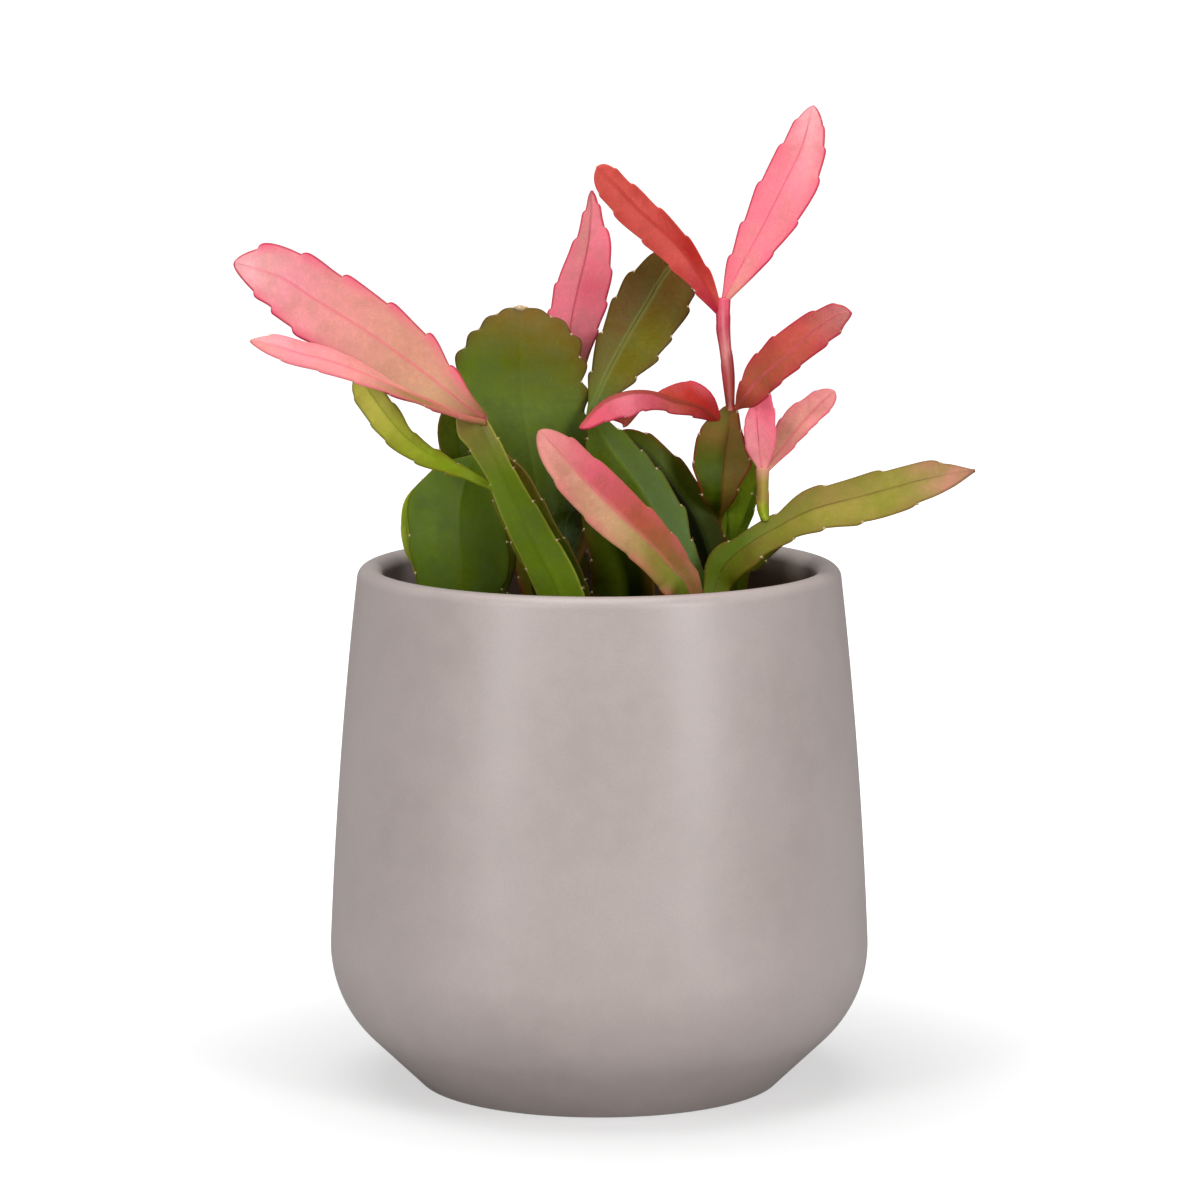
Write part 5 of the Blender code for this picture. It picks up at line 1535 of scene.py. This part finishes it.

# %% [markdown]
# ## The older segments
# Old skins are green or olive with a brown or brick margin. Deep in the pot the real skin is
# darker, but the near-black of the first paints of these rows is painted shade, and where one half
# turns away from the light its paints are darker, as painted shade too.

# %% Choose the older skins
# painted shade: the near-black first paints and the darker halves of these rows
skin("strap_left", "green_segments", (GRASS, PAD_GREEN, PAD_GREEN, PAD_GREEN, TAN_GREEN), SAME,
     LEAF, STRAW, rib_strength=0.3, margin_strength=0.4, blush_strength=0.0, cloud_strength=0.1)
skin("strap_left_back", "green_segments", (DEEP, LEAF, LEAF), (DEEP, LEAF, BROWN), DEEP, BRONZE,
     blush_strength=0.0)
skin("pad_round", "green_segments",
     (SHADE_BLACK, SHADE_BLACK, SHADE_BLACK, MOSS, PAD_GREEN, PALE_PAD, PAD_GREEN, BRONZE),
     (SHADE_BLACK, SHADE_BLACK, SHADE_BLACK, SHADE_BLACK, MOSS, PALE_PAD, OLIVE, BRONZE), LIME, DARK_BROWN, BROWN,
     cloud=WAX, cloud_strength=0.2, rib_strength=0.1, rib_blend=0.9, blush_strength=0.6)
skin("pad_left", "green_segments", (GRASS, LEAF, LEAF), (DEEP, MOSS, LEAF), GRASS, BROWN, LEAF,
     cloud=GLAUCOUS, cloud_strength=0.5, margin_strength=0.35, rib_strength=0.2, rib_blend=0.5)
skin("strap_glaucous", "green_segments", (DEEP, MOSS, MOSS), (DEEP, GLAUCOUS, MOSS), LEAF, BROWN,
     LEAF, cloud_strength=0.1, margin_strength=0.5)
skin("strap_arching", "green_segments", (SHADE_BLACK, SHADE_BLACK, SHADE_BLACK, SHADE_BLACK, DEEP),
     (SHADE_BLACK, DEEP, MOSS, MOSS), DEEP, BRICK, BROWN, margin_strength=0.9)
skin("strap_right", "olive_segments", (LEAF, LEAF, LEAF, TAN_GREEN, YELLOW_OLIVE, DUSTY_ROSE),
     (LEAF, LEAF, OLIVE, YELLOW_OLIVE, YELLOW_OLIVE, DUSTY_ROSE), BROWN, BROWN, BROWN,
     rib_strength=0.35, margin_strength=0.5, blush_strength=0.25, cloud=LIME, cloud_strength=0.35)
skin("strap_right_low", "green_segments", (DEEP, MOSS, MOSS), SAME, MOSS, DARK_BROWN,
     blush_strength=0.1)
skin("strap_right_back", "green_segments", (LEAF, LEAF, LEAF), SAME, MOSS, LEAF, rib_strength=0.1,
     blush_strength=0.0)
skin("blade_olive", "olive_segments", (LEAF, OLIVE, BROWN, BROWN, DARK_BROWN),
     (GLAUCOUS, OLIVE, OLIVE, BROWN, DARK_BROWN), SAGE, DARK_BROWN, BROWN, cloud=SAGE,
     cloud_strength=0.2, rib_strength=0.35, rib_gap=0.6, rib_blend=0.3, mottle=0.55)
skin("stem_winged", "olive_segments", (DEEP, DEEP, MOSS, BRONZE, BRONZE),
     (OLIVE, BRONZE, BRONZE, BRONZE, RUST), BRICK, BRICK, BROWN, blush_strength=0.2, cloud=LEAF,
     cloud_strength=0.4, margin_strength=0.9)
skin("stem_wing_back", "green_segments", (LEAF, LIME, YELLOW_OLIVE), SAME, LEAF, LEAF,
     rib_strength=0.2, blush_strength=0.0)
skin("blade_left_dark", "green_segments", (SHADE_BLACK, DEEP, MOSS), SAME, DEEP, BROWN)
skin("blade_centre_low", "green_segments", (LEAF, MOSS, DEEP), (SHADE_BLACK, SHADE_BLACK, DEEP), DEEP, BROWN)
skin("strap_behind_pad", "green_segments", (SHADE_BLACK, LEAF, LEAF), (SHADE_BLACK, LEAF, GLAUCOUS), LEAF,
     BROWN)
skin("strap_back_middle", "green_segments", (SHADE_BLACK, LEAF, LEAF), SAME, LEAF, BROWN)
skin("pad_back_left", "green_segments", (MOSS, LEAF, OLIVE), SAME, GRASS, BROWN,
     cloud_strength=0.2)
skin("strap_back_right", "green_segments", (MOSS, LEAF, LEAF), SAME, MOSS, BROWN)
skin("strap_over_back", "green_segments", (MOSS, LEAF, OLIVE), SAME, GRASS, BRICK,
     cloud_strength=0.1)
skin("strap_back_left_long", "olive_segments", (LEAF, OLIVE, BROWN), SAME, GRASS, BRICK)
skin("strap_over_back_right", "olive_segments", (LEAF, OLIVE, TAN_GREEN), SAME, GRASS, BRICK)
print(len(SKINS), "skins for", len(segments), "segments")

# %% [markdown]
# ## Felt
# The areoles are felted with hairs too short to model. A very fine noise between a brown and a
# cream, with a little relief, reads as felt at this size.

# %% Felt for the areoles
HAIR_SCALE = 5200.0
FELT_BROWN = paint(168, 128, 92)

felt, bench, shader = new_finish("areole_felt")
hairs = bench.cloud(bench.on_object(), HAIR_SCALE, detail=3.0, roughness=0.6)
bench.feed(shader.inputs["Base Color"], bench.mix(bench.ramp(hairs, 0.35, 0.65), FELT_BROWN, CREAM))
bench.feed(shader.inputs["Roughness"], bench.ramp(hairs, 0.3, 0.7, 0.8, 0.95))
bench.relief(shader, strength=0.6, distance=0.0001, height=hairs)
print("areole felt mixed")

# %% [markdown]
# ## From the table to a finish
# Each half of a blade runs through its own paints, and the halves blend over the rib. These colours
# are written on the points. The material then only passes them and its row of the table to the
# skin's group. The gloss follows the paleness of the colour, so that the darkest paints, which are
# painted shade, hardly mirror, and a little light passes through the flesh.

# %% Paint the halves and finish the skin
DARK_SHINE, PALE_SHINE, PALE_FROM = 0.01, 0.13, 0.08
FLESH_SHARE, FLESH_REACH, FLESH_COLOURS = 0.12, 0.0012, (1.0, 0.5, 0.3)


def paint_halves(mesh, halves, rib_blend):
    """Writes the broad colour on the points, from the paints of each half, base to tip."""
    along = np.array([mark.value for mark in mesh.attributes["along"].data])
    across = np.array([mark.value for mark in mesh.attributes["across"].data])
    left, right = [
        np.stack([np.interp(along, np.linspace(0.0, 1.0, len(paints)), [p[k] for p in paints])
                  for k in range(4)], -1)
        for paints in halves
    ]
    blend = np.clip((across + rib_blend) / (2 * rib_blend), 0.0, 1.0)[:, None]
    colours = mesh.color_attributes.new("stem_colour", "FLOAT_COLOR", "POINT")
    colours.data.foreach_set("color", (left * (1 - blend) + right * blend).ravel())


def skin_finish(name, inputs):
    """A segment's finish, from its row in the table."""
    finish, bench, shader = new_finish(name + "_skin")
    parts = bench.add("Group", {"node_tree": segment_skin})
    bench.feed(parts.inputs["Stem"], bench.attribute("stem_colour").outputs["Color"])
    for label, value in inputs.items():
        bench.feed(parts.inputs[label], value)
    bench.feed(shader.inputs["Base Color"], parts.outputs["Color"])
    bench.feed(shader.inputs["Roughness"], parts.outputs["Roughness"])
    bench.relief(shader, strength=0.5, distance=0.0003, height=parts.outputs["Height"])
    # painted shade keeps its dark: the darker the colour, the less the skin mirrors
    paleness = bench.add("RGBToBW", Color=parts.outputs["Color"]).outputs[0]
    shine = bench.ramp(paleness, 0.0, PALE_FROM, DARK_SHINE, PALE_SHINE)
    bench.feed(shader.inputs["Specular IOR Level"], shine)
    shader.inputs["Subsurface Weight"].default_value = FLESH_SHARE
    shader.inputs["Subsurface Radius"].default_value = FLESH_COLOURS
    shader.inputs["Subsurface Scale"].default_value = FLESH_REACH
    return finish


print("light passes", FLESH_REACH / MM, "mm into the flesh")

# %% [markdown]
# ## The whole plant
# Parents are made before what grows from them, since a heel needs its parent's surface. Every blade
# rides on the plant's one body and replaces the plain solid of the same name.

# %% Make every segment
AREOLE_OLD = 0.5
AREOLE_YOUNG = 0.24
OLD_SLOTS = ("green_segments", "olive_segments")

faces = 0
for name, segment in segments.items():
    look = SKINS[name]
    mesh = closed_shell(segment, AREOLE_OLD if look["slot"] in OLD_SLOTS else AREOLE_YOUNG)
    paint_halves(mesh, look["halves"], look["rib blend"])
    mesh.materials.append(skin_finish(name, look["inputs"]))
    mesh.materials.append(felt)
    blade = place_in_scene(name + "_living", mesh)
    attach(blade, "root")
    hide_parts(name)
    faces += len(mesh.polygons)
print(len(segments), "segments,", faces, "faces")
